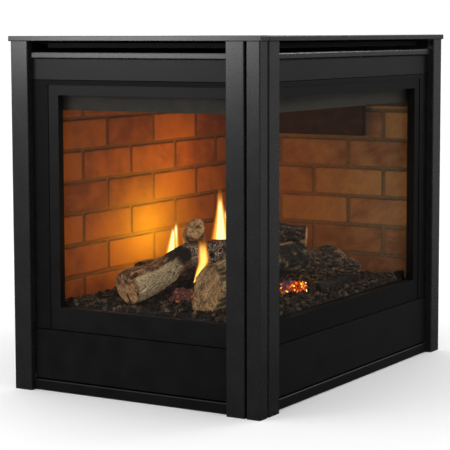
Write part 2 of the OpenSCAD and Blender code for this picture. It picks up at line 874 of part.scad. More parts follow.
// Mixing tube: open bell towards the orifice, elbow up into the burner tray
module mixing_tube() {
    r = mixer_r;
    t = 1.2;
    color("#8f9092") difference() {
        union() {
            rod_x([mixer_x0, pipe_y, pipe_z], r, mixer_x1 - mixer_x0);
            translate([mixer_x0, pipe_y, pipe_z]) sphere(r);
            translate([mixer_x0, pipe_y, pipe_z]) cylinder(r = r, h = hearth_z - pipe_z);
        }
        rod_x([mixer_x0, pipe_y, pipe_z], r - t, mixer_x1 - mixer_x0 - t);
        translate([mixer_x0, pipe_y, pipe_z]) sphere(r - t);
        translate([mixer_x0, pipe_y, pipe_z]) cylinder(r = r - t, h = hearth_z - pipe_z + e);
        rod_x([mixer_x1 - 10, pipe_y, pipe_z], 5, 20);
        // two primary air windows that the shutter covers
        block([mixer_x1 - 26, pipe_y - r - e, pipe_z - 6], [mixer_x1 - 12, pipe_y + r + e, pipe_z + 6]);
    }
}

// Turning sleeve that opens and closes the mixing tube's air windows
module air_shutter() {
    a = mixer_x1 - 31;
    l = 24;
    color("#b08d4a") difference() {
        union() {
            rod_x([a, pipe_y, pipe_z], mixer_r + 1.6, l);
            block([a + 8, pipe_y - 2, pipe_z + mixer_r + 0.8], [a + 16, pipe_y + 2, pipe_z + mixer_r + 12]);
        }
        rod_x([a - e, pipe_y, pipe_z], mixer_r + running, l + 2 * e);
        block([a + 5, pipe_y - mixer_r - 5, pipe_z - 6], [a + 19, pipe_y, pipe_z + 6]);
        block([a + 5, pipe_y, pipe_z - 6], [a + 19, pipe_y + mixer_r + 5, pipe_z + 6]);
    }
}

// Cast gas valve with a boss for each control
module gas_valve() {
    spindle_r = 4;
    color("#9a9da0") difference() {
        union() {
            block([valve_x0, valve_y0 + 6, 82], [valve_x1, valve_y1, 142]);
            rod_y([knob_x, valve_y0 + 6, knob_z], 13, 6);
            rod_y([flame_x, valve_y0 + 6, knob_z], 9, 6);
            rod_y([flame_x, valve_y0, knob_z], 3, 10.5);
            rod_x([valve_x0 - 8, pipe_y, pipe_z], 11, 8);
            rod_x([valve_x1, pipe_y, pipe_z], 11, 8);
            // foot that carries the valve on the floor pan
            block([valve_x0 + 15, valve_y1 - 25, sheet], [valve_x1 - 15, valve_y1 - 22, 82]);
            block([valve_x0 + 15, valve_y1 - 25, sheet], [valve_x1 - 15, valve_y1, sheet + 2]);
        }
        rod_y([knob_x, valve_y0 + 30, knob_z], spindle_r + running, 40);
    }
}

// Spindle of the gas control: it is pushed in to light the pilot
module valve_spindle() {
    color("#c0c0c0") rod_y([knob_x, valve_y0 + 24, knob_z], 4, 41);
}

// A fluted plastic knob on a spindle of radius r
module knob(x, y, z, r, l, bore_r) {
    difference() {
        union() {
            rod_y([x, y, z], r, l);
            rod_y([x, y, z], r + 2, 3);
            block([x - 1.2, y - l - 2, z], [x + 1.2, y - l + 1, z + r - 1]);
        }
        rod_y([x, y + e, z], bore_r, l - 3);
        for (q = [15:30:345])
            rod_y([x + (r + 1) * cos(q), y - 4, z + (r + 1) * sin(q)], 1.6, l);
    }
}

// OFF, PILOT and ON knob
module control_knob() {
    color("#1c1c1e") knob(knob_x, valve_y0 - 4.5, knob_z, 15, 18, 4 + running);
}

// HI and LO knob of the pressure regulator
module flame_knob() {
    color("#1c1c1e") knob(flame_x, valve_y0 - 0.5, knob_z, 10, 15, 3 + running);
}

// Pipe from the shut-off cock to the valve, and the orifice pipe from the valve to the tube
module gas_pipe() {
    color("#b5873f") {
        rod_x([valve_x1 + 8, pipe_y, pipe_z], pipe_r, cock_x - 18 - valve_x1 - 8);
        rod_x([cock_x + 18, pipe_y, pipe_z], pipe_r, x1 - cock_x - 18);
        rod_x([x1 - 6, pipe_y, pipe_z], 14, 16, $fn = 6);
        rod_x([x1 + 10, pipe_y, pipe_z], inlet_r, 14);
        rod_x([mixer_x1 + 2, pipe_y, pipe_z], pipe_r, valve_x0 - 8 - mixer_x1 - 2);
        rod_x([mixer_x1 - 6, pipe_y, pipe_z], 4, 8);
        rod_x([mixer_x1 + 6, pipe_y, pipe_z], pipe_r + 4, 14, $fn = 6);
    }
}

// Body of the quarter-turn shut-off cock
module cock_body() {
    color("#b5873f") {
        rod_x([cock_x - 18, pipe_y, pipe_z], 11, 36);
        translate([cock_x, pipe_y, pipe_z]) cylinder(r = 8, h = 17);
        translate([cock_x, pipe_y, pipe_z + 17]) cylinder(r = 3, h = 6);
    }
}

// Lever of the cock, in line with the pipe when open
module shutoff_cock() {
    z = pipe_z + 17.3;
    color("#a83228") difference() {
        union() {
            translate([cock_x, pipe_y, z]) cylinder(r = 8, h = 4);
            block([cock_x, pipe_y - 5, z], [cock_x + 44, pipe_y + 5, z + 4]);
        }
        translate([cock_x, pipe_y, z - e]) cylinder(r = 3 + running, h = 10);
    }
}

// Folded bracket that holds the igniter and the rocker switch
module control_bracket() {
    y = board_y;
    color("#2c2c2e") difference() {
        union() {
            block([board_x0, y, sheet], [board_x1, y + sheet, 128]);
            block([board_x0, y + sheet, sheet], [board_x1, y + 18, 2 * sheet]);
            // guide of the igniter button and cheeks of the rocker
            rod_y([igniter_x, y + 20, board_z], 9, 20);
            for (x = [rocker_x - 10, rocker_x + 8.4])
                block([x, y + sheet, board_z - 14], [x + 1.6, y + 18, board_z + 14]);
        }
        rod_y([igniter_x, y + 18, board_z], 6 + running, 30);
        block([rocker_x - 8.4, y - e, board_z - 14], [rocker_x + 8.4, y + 10, board_z + 14]);
        rod_x([rocker_x - 12, y + 7, board_z], 1.5 + running, 24);
    }
}

// Push button of the piezo igniter
module igniter_button() {
    color("#b03028") {
        rod_y([igniter_x, board_y + 12, board_z], 6, 12 + 8);
        rod_y([igniter_x, board_y - 7, board_z], 8, 4);
    }
}

// ON and OFF rocker, tilted to OFF at rest, on its own cross pin
module rocker_switch() {
    color("#17171a") translate([rocker_x, board_y + 7, board_z]) rotate([-9, 0, 0]) {
        difference() {
            translate([-8, -9, -12]) cube([16, 10, 24]);
            translate([-9, -26, 0]) rotate([0, 90, 0]) cylinder(r = 18.5, h = 18, $fn = 64);
        }
        translate([-11, 0, 0]) rotate([0, 90, 0]) cylinder(r = 1.5, h = 22);
    }
}

// ---------------------------------------------------------------- doors and latches

// Drop-down door over the valve compartment, folded in all round
module door(len) {
    a = strip_end + 2.5;
    b = len - post_w - 3;
    t = door_sheet;
    color("#1b1a1c") difference() {
        union() {
            block([a, door_v, door_z], [b, door_v + t, door_top]);
            block([a, door_v + t, door_top - t], [b, door_v + 20, door_top]);
            block([a, door_v + t, door_z], [b, door_v + 22, door_z + t]);
            for (u = [a, b - 1.2])
                block([u, door_v + t, door_z + t], [u + 1.2, door_v + 12, door_top - t]);
        }
        rod_x([a - e, door_v + 2.6, hinge_z], hinge_r + running, 4);
        rod_x([b - 3, door_v + 2.6, hinge_z], hinge_r + running, 4);
    }
}

module door_front() {
    on_front() door(front_w);
}

module door_end() {
    on_end() door(end_w);
}

// Hinge bracket behind the floor pan's edge, with its pin towards side s
module hinge_bracket(u, s) {
    v = panel_v + 0.5 + sheet;
    w = 1.2;
    ear = s > 0 ? u : u - w;
    block([min(u, u - s * 10), v, 4], [max(u, u - s * 10) + (s > 0 ? w : 0), v + sheet, 44]);
    block([ear, door_v - 0.5, trim_top + 0.5], [ear + w, v + 5, 44]);
    rod_x([s > 0 ? u + w : u - w - 5.5, door_v + 2.6, hinge_z], hinge_r, 5.5);
}

module hinge_brackets() {
    color("#8a8c8e") {
        on_front() {
            hinge_bracket(strip_end, 1);
            hinge_bracket(front_w - post_w - 0.3, -1);
        }
        on_end() {
            hinge_bracket(strip_end, 1);
            hinge_bracket(end_w - post_w - 0.3, -1);
        }
    }
}

// Two ears and a pin that carry a glass latch, hung from the firebox floor
module latch_bracket(u) {
    w = latch_w / 2 + 1;
    for (a = [u - w - 2, u + w]) {
        block([a, latch_v - 6, latch_z - 6], [a + 2, latch_v + 12, latch_z + 18]);
        block([a, inner_v + 0.5, latch_z + 18], [a + 2, latch_v + 12, floor_z]);
    }
    block([u - w, latch_v + 10, latch_z + 18], [u + w, latch_v + 12, floor_z]);
    rod_x([u - w - 2, latch_v, latch_z], latch_r, 2 * w + 4);
}

module latch_brackets() {
    color("#8a8c8e") {
        on_front() for (u = latch_front_u) latch_bracket(u);
        on_end() for (u = latch_end_u) latch_bracket(u);
    }
}

// Spring latch: its tip pulls the glass frame's lip back against the gasket
module latch(u) {
    w = latch_w / 2;
    lip_v = seal_v - sheet;
    color("#a9abad") difference() {
        union() {
            rod_x([u - w, latch_v, latch_z], 5, latch_w);
            block([u - w, latch_v - 3, latch_z], [u + w, latch_v + 1, latch_z + 14]);
            block([u - w, lip_v - 4.3, latch_z + 10], [u + w, latch_v + 1, latch_z + 14]);
            block([u - w, lip_v - 4.3, latch_z + 14], [u + w, lip_v - 0.3, frame_z - 2]);
            block([u - w, latch_v - 3, latch_z - 34], [u + w, latch_v, latch_z]);
            block([u - w, latch_v - 12, latch_z - 36], [u + w, latch_v, latch_z - 34]);
        }
        rod_x([u - w - e, latch_v, latch_z], latch_r + running, latch_w + 2 * e);
    }
}

module latch_front_left() {
    on_front() latch(latch_front_u[0]);
}

module latch_front_right() {
    on_front() latch(latch_front_u[1]);
}

module latch_end_left() {
    on_end() latch(latch_end_u[1]);
}

module latch_end_right() {
    on_end() latch(latch_end_u[0]);
}

base_pan();
corner_angle();
corner_post();
corner_strips();
end_posts();
outer_wrap();
cap_end();
cap_front();
top_plate();
top_shield();
hood_rails();
upper_panels();
surrounds();
bottom_trims();
glass_frame_end();
glass_frame_front();
glass_pane_end();
glass_pane_front();
glass_gaskets();
firebox_frames();
firebox_floor();
firebox_wrap();
firebox_top();
lintels();
exhaust_baffle();
brick_liner_back();
brick_liner_end();
flue_collar();
intake_collar();
burner_tray();
lava_bed();
log_front_left();
log_corner();
log_charred();
log_stub();
log_top();
log_right();
logs_low();
pilot_assembly();
support_legs();
gas_valve();
mixing_tube();
union() {
    gas_pipe();
    cock_body();
}
shutoff_cock();
control_bracket();
latch_brackets();
hinge_brackets();
wrap_screws();
door_end();
door_front();
latch_end_left();
latch_end_right();
latch_front_left();
latch_front_right();
valve_spindle();
control_knob();
flame_knob();
igniter_button();
rocker_switch();
air_shutter();
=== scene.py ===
import math

import bmesh
import bpy
import numpy as np
from mathutils import Matrix, Vector


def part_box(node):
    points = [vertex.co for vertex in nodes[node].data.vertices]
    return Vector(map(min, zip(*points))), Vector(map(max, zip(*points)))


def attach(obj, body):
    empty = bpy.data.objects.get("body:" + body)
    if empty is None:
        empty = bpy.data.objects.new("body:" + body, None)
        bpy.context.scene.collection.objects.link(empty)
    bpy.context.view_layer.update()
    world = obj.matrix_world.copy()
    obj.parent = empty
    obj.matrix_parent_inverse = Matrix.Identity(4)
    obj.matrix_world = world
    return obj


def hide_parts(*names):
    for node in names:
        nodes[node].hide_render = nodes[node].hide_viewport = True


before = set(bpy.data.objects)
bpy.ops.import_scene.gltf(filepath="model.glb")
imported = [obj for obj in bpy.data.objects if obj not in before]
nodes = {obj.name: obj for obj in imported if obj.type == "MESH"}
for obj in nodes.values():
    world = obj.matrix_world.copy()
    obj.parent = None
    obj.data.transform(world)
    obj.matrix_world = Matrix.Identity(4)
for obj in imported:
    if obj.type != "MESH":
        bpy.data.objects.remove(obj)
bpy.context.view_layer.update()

# ------------------------------------------------------------------------------------ camera
# A long lens at standing height, a little over four metres from the glass corner. It looks 31
# degrees off the long face and slightly down, and a small shift keeps the posts nearly upright.
CAMERA_PLACE = (-4.0298, -2.3822, 0.9542)
CAMERA_HEADING = 31.055
CAMERA_PITCH = -5.701
CAMERA_ROLL = -0.145
CAMERA_SHIFT = -0.06
LENS_MM = 133.17
SENSOR_MM = 36.0
SIGHT_RANGE = 200.0

camera_data = bpy.data.cameras.new("studio_camera")
camera_data.lens = LENS_MM
camera_data.sensor_width = SENSOR_MM
camera_data.shift_y = CAMERA_SHIFT
camera_data.clip_end = SIGHT_RANGE
camera = bpy.data.objects.new("studio_camera", camera_data)
camera.matrix_world = (
    Matrix.Translation(CAMERA_PLACE)
    @ Matrix.Rotation(math.radians(CAMERA_HEADING - 90), 4, "Z")
    @ Matrix.Rotation(math.radians(90 + CAMERA_PITCH), 4, "X")
    @ Matrix.Rotation(math.radians(CAMERA_ROLL), 4, "Z")
)
bpy.context.scene.collection.objects.link(camera)
bpy.context.scene.camera = camera
bpy.context.scene.view_settings.view_transform = "Standard"


# ------------------------------------------------------------------------------ studio floor
# A plain white floor that runs far behind the object, so that it meets the white surroundings
# without a line. It isn't part of the object, and gloss doesn't show it.
FLOOR_REACH = 60.0


def linear(colour):
    """Linear red, green, blue and 1 from an sRGB hex colour."""
    parts = [int(colour[i : i + 2], 16) / 255 for i in (1, 3, 5)]
    return [p / 12.92 if p <= 0.04045 else ((p + 0.055) / 1.055) ** 2.4 for p in parts] + [1.0]


def add(tree, kind, inputs=None, stops=None, **settings):
    """Adds a node. inputs holds a socket or a plain value for each input, by name or number, and
    stops holds the places and colours of a ramp."""
    node = tree.nodes.new(kind)
    for key, value in settings.items():
        setattr(node, key, value)
    if stops:
        elements = node.color_ramp.elements
        elements.remove(elements[1])
        elements[0].position = stops[0][0]
        elements[0].color = linear(stops[0][1])
        for place, colour in stops[1:]:
            elements.new(place).color = linear(colour)
    for key, value in (inputs or {}).items():
        if isinstance(value, bpy.types.NodeSocket):
            tree.links.new(value, node.inputs[key])
        else:
            node.inputs[key].default_value = value
    return node


def new_material(name, **sockets):
    """A material of one shader, with plain values on the sockets that are given."""
    material = bpy.data.materials.new(name)
    material.use_nodes = True
    shader = material.node_tree.nodes["Principled BSDF"]
    for key, value in sockets.items():
        shader.inputs[key.replace("_", " ")].default_value = value
    return material, material.node_tree, shader


floor_mesh = bpy.data.meshes.new("studio_floor")
floor_mesh.from_pydata(
    [(x * FLOOR_REACH, y * FLOOR_REACH, 0.0) for x, y in ((-1, -1), (1, -1), (1, 1), (-1, 1))],
    [],
    [(0, 1, 2, 3)],
)
floor = bpy.data.objects.new("studio_floor", floor_mesh)
bpy.context.scene.collection.objects.link(floor)
floor_mesh.materials.append(
    new_material("painted_studio_floor", Base_Color=linear("#f8f8f8"), Roughness=0.9)[0]
)
floor.visible_glossy = False


# ------------------------------------------------------------------------------ studio light
# A white room: even light on matt surfaces. Gloss sees a room that is black below, dim at the
# horizon and bright overhead, and rows of soft lamps between waist and head height beside
# both glass faces.
ROOM_LIGHT = 1.04
# Grey of the room that gloss sees, by height from 0 below to 1 overhead, as a share of the ceiling
ROOM_GLOSS = ((0.40, "#000000"), (0.44, "#535353"), (0.68, "#585858"), (0.72, "#ffffff"))
CEILING_GLOSS = 3.33
LAMP_WIDTH, LAMP_HEIGHT = 0.7, 0.3
END_LAMP_X, END_FACE_X = -2.25, -0.54
# Place along the end face, height and watts of each lamp there
END_LAMPS = ((0.5, 1.05, 2.2), (1.2, 1.05, 8.2), (1.2, 1.35, 1.4), (1.9, 1.05, 1.8))
FRONT_LAMP_Y, FRONT_FACE_Y = -2.1, -0.38
FRONT_LAMP_Z, FRONT_AIM_Z = 1.75, 1.4
# Place along the long face and watts of each lamp there
FRONT_LAMPS = ((2.1, 7.0), (3.0, 13.5))

world = bpy.data.worlds.new("white_room")
bpy.context.scene.world = world
world.use_nodes = True
room = world.node_tree
room.nodes.clear()
ray = add(room, "ShaderNodeLightPath")
upward = add(
    room, "ShaderNodeSeparateXYZ", {0: add(room, "ShaderNodeTexCoord").outputs["Generated"]}
)
height = add(room, "ShaderNodeMapRange", {0: upward.outputs["Z"], 1: -1.0, 2: 1.0})
gloss = add(room, "ShaderNodeValToRGB", {0: height.outputs[0]}, stops=ROOM_GLOSS)
even = add(room, "ShaderNodeBackground", {"Color": (1, 1, 1, 1), "Strength": ROOM_LIGHT})
graded = add(room, "ShaderNodeBackground", {"Color": gloss.outputs[0], "Strength": CEILING_GLOSS})
seen = add(
    room,
    "ShaderNodeMixShader",
    {0: ray.outputs["Is Glossy Ray"], 1: even.outputs[0], 2: graded.outputs[0]},
)
add(room, "ShaderNodeOutputWorld", {"Surface": seen.outputs[0]})


def soft_light(name, place, target, watts):
    """A white rectangular lamp at place that faces target."""
    lamp = bpy.data.lights.new(name, "AREA")
    lamp.shape = "RECTANGLE"
    lamp.size = LAMP_WIDTH
    lamp.size_y = LAMP_HEIGHT
    lamp.energy = watts
    holder = bpy.data.objects.new(name, lamp)
    turn = (Vector(target) - Vector(place)).to_track_quat("-Z", "Y")
    holder.matrix_world = Matrix.Translation(place) @ turn.to_matrix().to_4x4()
    bpy.context.scene.collection.objects.link(holder)


# Each lamp is turned part of the way towards the middle of its face
for number, (along, high, watts) in enumerate(END_LAMPS):
    aim = (END_FACE_X, along / 2, high * 0.8)
    soft_light(f"strip_left_{number}", (END_LAMP_X, along, high), aim, watts)
for number, (along, watts) in enumerate(FRONT_LAMPS):
    aim = (along * 0.6, FRONT_FACE_Y, FRONT_AIM_Z)
    soft_light(f"strip_right_{number}", (along, FRONT_LAMP_Y, FRONT_LAMP_Z), aim, watts)


# ------------------------------------------------------------------------- cabinet sheetwork
# Posts, strips, caps and rails: folded sheet steel with a satin charcoal powder coat, screwed to
# the carcass from inside. The coat is a fine orange peel with a clear sheen.
def coat(name, shades, patch, grain, roughness, relief, stretch=(1, 1, 1), metallic=0.0, **sockets):
    """A finish whose shades lie in patches, with a grain in its gloss and relief, all in mm.
    roughness holds its least and most, and stretch squeezes the pattern along an axis."""
    material, tree, shader = new_material(name, Metallic=metallic, **sockets)
    place = add(tree, "ShaderNodeTexCoord").outputs["Object"]
    place = add(tree, "ShaderNodeMapping", {"Vector": place, "Scale": stretch}).outputs[0]
    broad = add(tree, "ShaderNodeTexNoise", {"Vector": place, "Scale": 1000 / patch, "Detail": 4.0})
    fine = add(tree, "ShaderNodeTexNoise", {"Vector": place, "Scale": 1000 / grain, "Detail": 2.0})
    # The noise seldom leaves its middle, so the shades are spread over that
    steps = [(0.3 + 0.4 * i / (len(shades) - 1), c) for i, c in enumerate(shades)]
    colour = add(tree, "ShaderNodeValToRGB", {0: broad.outputs[0]}, stops=steps)
    both = add(tree, "ShaderNodeMath", {0: broad.outputs[0], 1: fine.outputs[0]}, operation="ADD")
    gloss = add(
        tree,
        "ShaderNodeMapRange",
        {0: both.outputs[0], 1: 0.7, 2: 1.3, 3: roughness[0], 4: roughness[1]},
    )
    bump = add(
        tree,
        "ShaderNodeBump",
        {"Height": fine.outputs[0], "Distance": relief / 1000, "Strength": 1.0},
    )
    tree.links.new(colour.outputs[0], shader.inputs["Base Color"])
    tree.links.new(gloss.outputs[0], shader.inputs["Roughness"])
    tree.links.new(bump.outputs[0], shader.inputs["Normal"])
    return material


def dress(material, *names):
    """Gives the CAD nodes a finish."""
    for name in names:
        mesh = nodes[name].data
        mesh.materials.clear()
        mesh.materials.append(material)


# The orange peel of the coat is about 1 mm; it is drawn at 3 mm so that it shows
powder_coat = coat(
    "satin_charcoal_powder_coat", ("#161515", "#1a1919"), 60, 3.0, (0.25, 0.29), 0.005
)
dress(
    powder_coat, "corner_post", "corner_strips", "end_posts", "cap_end", "cap_front", "hood_rails"
)


# --------------------------------------------------------------------------- panels and doors
# The plain panels over and under the glass and the trims at the foot: the same sheet in a matt
# black coat, which takes little of the light, and least on the doors and trims. The lower panels
# are doors on hidden hinges.
MATT_BLACK = ("#0e0d0d", "#131212")
panel_coat = coat(
    "matt_black_panel_coat", MATT_BLACK, 60, 3.0, (0.36, 0.42), 0.03, Specular_IOR_Level=0.18
)
dress(panel_coat, "upper_panels")
door_coat = coat(
    "matt_black_door_coat", MATT_BLACK, 60, 3.0, (0.36, 0.42), 0.03, Specular_IOR_Level=0.1
)
dress(door_coat, "door_front", "door_end", "bottom_trims")


# ---------------------------------------------------------------------------- hidden carcass
# Floor pan, wrap and top: thicker sheet with a plain dark coat, rolled flat, less even than the
# face sheets and with the faint streaks of the mill.
carcass_coat = coat(
    "rolled_sheet_dark_coat", ("#232325", "#2e2e31"), 90, 6.0, (0.5, 0.62), 0.05,
    stretch=(1, 1, 0.2),
)
dress(carcass_coat, "base_pan", "outer_wrap", "top_plate", "support_legs")


# --------------------------------------------------------------------- heat-proof black parts
# Surrounds, shields and firebox sheets are sprayed with matt heat-proof black. The lintels over
# the glass are a lighter grey, a painted reflection of the room in the glass in front of them, and
# the bare steel baffle in front of the flue is browned by the heat. None of them has any sheen.
baked_black = coat(
    "matt_heat_proof_black", ("#090808", "#0b0a0a", "#0e0d0d"), 35, 4.0, (0.5, 0.6), 0.06,
    Specular_IOR_Level=0.08,
)
dress(
    baked_black, "corner_angle", "surrounds", "top_shield", "firebox_frames", "firebox_floor",
    "firebox_wrap", "firebox_top", "burner_tray", "control_bracket",
)
# A grey that paints the room's reflection in the glass over the lintels
lintel_reflection_coat = coat(
    "heat_proof_grey_painted_reflection", ("#292827", "#2f2e2c", "#363432"), 35, 4.0, (0.5, 0.6), 0.06,
    Specular_IOR_Level=0.1,
)
dress(lintel_reflection_coat, "lintels")
browned_steel = coat(
    "heat_browned_steel", ("#22140e", "#2e1c13", "#382319"), 45, 4.0, (0.55, 0.65), 0.06,
    Specular_IOR_Level=0.05,
)
dress(browned_steel, "exhaust_baffle")


# ------------------------------------------------------------------------------ glass frames
# Two frames of folded steel that hold the panes from behind. The short one has a smooth satin
# black coat, which shows a soft sheen, and the long one a duller and darker copy of that coat,
# which is painted shade.
frame_coat = coat(
    "satin_black_frame_coat", ("#0d0c0c", "#121111"), 50, 2.5, (0.36, 0.44), 0.03,
    Specular_IOR_Level=0.14,
)
dress(frame_coat, "glass_frame_end")
# A darker copy of the frame coat: painted shade on the long frame
front_frame_coat = coat(
    "darker_frame_coat_painted_shade", ("#0b0a0a", "#0f0e0e"), 50, 2.5, (0.4, 0.48), 0.03,
    Specular_IOR_Level=0.08,
)
dress(front_frame_coat, "glass_frame_front")


# ----------------------------------------------------------------------------- glass and rope
# Ceramic glass, 5 mm thick, clear with a faint amber cast; it mirrors only a little of the room,
# and has the thin dusty bloom of baked glass. A flat woven glass-fibre rope seals it.
BLOOM = 0.0015  # share of the light that the dust scatters
MIRROR = 0.012  # share that the glass mirrors

pane_glass = bpy.data.materials.new("ceramic_glass")
pane_glass.use_nodes = True
pane_tree = pane_glass.node_tree
pane_tree.nodes.clear()
clear = add(pane_tree, "ShaderNodeBsdfTransparent", {"Color": linear("#f6f4f0")})
bloom = add(pane_tree, "ShaderNodeBsdfDiffuse", {"Color": linear("#f4f0ee")})
hazy = add(pane_tree, "ShaderNodeMixShader", {0: BLOOM, 1: clear.outputs[0], 2: bloom.outputs[0]})
mirror = add(pane_tree, "ShaderNodeBsdfGlossy", {"Color": linear("#ffffff"), "Roughness": 0.03})
film = add(pane_tree, "ShaderNodeMixShader", {0: MIRROR, 1: hazy.outputs[0], 2: mirror.outputs[0]})
add(pane_tree, "ShaderNodeOutputMaterial", {"Surface": film.outputs[0]})
dress(pane_glass, "glass_pane_end", "glass_pane_front")

# The rope is dull and hairy, with strands of 2 mm
rope_weave = coat("woven_glass_fibre_rope", ("#3a3733", "#5a564f"), 3.0, 2.0, (0.8, 0.9), 0.5)
dress(rope_weave, "glass_gaskets")


# ------------------------------------------------------------------------------ brick liners
# Two moulded refractory boards, 25 mm thick, hooked in behind the lintel angle. Their bricks of
# 222 x 76 mm in running bond stand 4 mm proud of 10 mm sandy joints, with soft cast edges, lightly
# combed faces, and soot and painted shade in the creases. Where the flames play on them, the
# bricks carry a painted glow of the fire's light.
COURSE = 86.4  # height of a brick with its joint, mm
BRICK = 232.0  # length of a brick with its joint
JOINT = 10.0
RELIEF = 4.0
FIRST_COURSE = 203.7  # height of the middle of a bed joint
CORNER_R = 7.0
CAST_EDGE = 3.2  # width of the slope from a joint up to a face
WAVER = 0.9  # how far the joints stray from straight
FACE_DEPTH = 0.7  # how far the middle of a face lies behind its highest places
STROKE_WIDTH = 9.0
HOLLOW_WIDTH = 55.0
GRID = 2.6  # spacing of the points of a board
GRIT = 3.85  # size of the sand in it, drawn coarse enough to show
BLOTCH = 71.4
OWN_SHARE = 0.3  # how far a brick's own number, its strokes and its blotches change its shade
STROKE_SHARE = 0.07
BLOTCH_SHARE = 0.7
# Colour of the soot and painted shade in the creases
SOOT_AND_SHADE = "#1c120b"
TABLE = 4096
PRIMES = (73856093, 19349663, 83492791)


def lumps(points, size, seed, octaves=1):
    """Smooth noise from -1 to 1 with lumps about size wide, at an array of points in mm. Each
    cell's corner takes its height from a table, at a place that three primes scatter."""
    table = np.random.default_rng(seed).random(TABLE)
    total = np.zeros(len(points))
    weight = 0.0
    for octave in range(octaves):
        cell = np.asarray(points) * (2**octave / size) + 19.7 * octave
        low = np.floor(cell).astype(np.int64)
        part = cell - low
        part = part * part * (3 - 2 * part)
        value = np.zeros(len(points))
        for corner in range(8):
            step = np.array([corner & 1, corner >> 1 & 1, corner >> 2])
            key = low + step
            mixed = key[:, 0] * PRIMES[0] ^ key[:, 1] * PRIMES[1] ^ key[:, 2] * PRIMES[2]
            share = np.prod(np.where(step == 1, part, 1 - part), axis=1)
            value += share * table[mixed & (TABLE - 1)]
        total += (2 * value - 1) * 0.5**octave
        weight += 0.5**octave
    return total / weight


def ease(value):
    """0 to 1 with soft ends."""
    value = np.clip(value, 0, 1)
    return value * value * (3 - 2 * value)


def grid_faces(rows, columns):
    """Faces of a grid of points that are counted row by row."""
    return [
        (r * columns + c, r * columns + c + 1, (r + 1) * columns + c + 1, (r + 1) * columns + c)
        for r in range(rows - 1)
        for c in range(columns - 1)
    ]


def new_piece(name, points, faces, material, values, body="cabinet"):
    """A smooth mesh from points in mm, with one number a point for each named value."""
    mesh = bpy.data.meshes.new(name)
    mesh.from_pydata([tuple(p) for p in np.asarray(points) / 1000], [], faces)
    for key, numbers in values.items():
        mesh.attributes.new(key, "FLOAT", "POINT").data.foreach_set(
            "value", np.asarray(numbers, dtype=np.float32)
        )
    mesh.polygons.foreach_set("use_smooth", [True] * len(mesh.polygons))
    mesh.materials.append(material)
    piece = bpy.data.objects.new(name, mesh)
    bpy.context.scene.collection.objects.link(piece)
    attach(piece, body)
    return piece


def brick_material(name, shades, sands, char_and_fire_glow):
    """Cast refractory brick, dull and gritty: each brick has its own shade and the joints are
    sandy.
    Soot and painted shade darken the creases, and where the flames play the brick takes on a
    painted glow of the fire's light in the colour given for it."""
    material, tree, shader = new_material(name, Roughness=0.85, Specular_IOR_Level=0.25)
    place = add(tree, "ShaderNodeTexCoord").outputs["Object"]
    value = {
        key: add(tree, "ShaderNodeAttribute", attribute_name=key).outputs["Fac"]
        for key in ("tone", "joint", "stroke", "crease_soot_and_shade", "painted_fire_glow")
    }
    blotch = add(
        tree, "ShaderNodeTexNoise", {"Vector": place, "Scale": 1000 / BLOTCH, "Detail": 6.0}
    )
    grit = add(tree, "ShaderNodeTexNoise", {"Vector": place, "Scale": 1000 / GRIT, "Detail": 2.0})
    own = add(tree, "ShaderNodeMath", {0: value["tone"], 1: OWN_SHARE}, operation="MULTIPLY")
    combed = add(
        tree, "ShaderNodeMath", {0: value["stroke"], 1: STROKE_SHARE, 2: own.outputs[0]},
        operation="MULTIPLY_ADD",
    )
    level = add(
        tree, "ShaderNodeMath", {0: blotch.outputs[0], 1: BLOTCH_SHARE, 2: combed.outputs[0]},
        operation="MULTIPLY_ADD",
    )
    stops = [(0.35 + 0.5 * i / (len(shades) - 1), c) for i, c in enumerate(shades)]
    brick = add(tree, "ShaderNodeValToRGB", {0: level.outputs[0]}, stops=stops)
    sand = add(
        tree, "ShaderNodeValToRGB", {0: grit.outputs[0]}, stops=[(0.35, sands[0]), (0.65, sands[1])]
    )
    face = add(
        tree, "ShaderNodeMix", {0: value["joint"], 6: brick.outputs[0], 7: sand.outputs[0]},
        data_type="RGBA",
    )
    fire_glow_mixed = add(
        tree, "ShaderNodeMix", {0: value["painted_fire_glow"], 6: face.outputs[2], 7: linear(char_and_fire_glow)},
        data_type="RGBA",
    )
    soot_and_shade_mixed = add(
        tree, "ShaderNodeMix", {0: value["crease_soot_and_shade"], 6: fire_glow_mixed.outputs[2], 7: linear(SOOT_AND_SHADE)},
        data_type="RGBA",
    )
    speck = add(tree, "ShaderNodeMapRange", {0: grit.outputs[0], 1: 0.3, 2: 0.7, 3: 0.86, 4: 1.08})
    speckled = add(
        tree, "ShaderNodeVectorMath", {0: soot_and_shade_mixed.outputs[2], 1: speck.outputs[0]},
        operation="MULTIPLY",
    )
    bump = add(
        tree, "ShaderNodeBump", {"Height": grit.outputs[0], "Distance": 0.0006, "Strength": 0.8}
    )
    tree.links.new(speckled.outputs[0], shader.inputs["Base Color"])
    tree.links.new(bump.outputs[0], shader.inputs["Normal"])
    return material


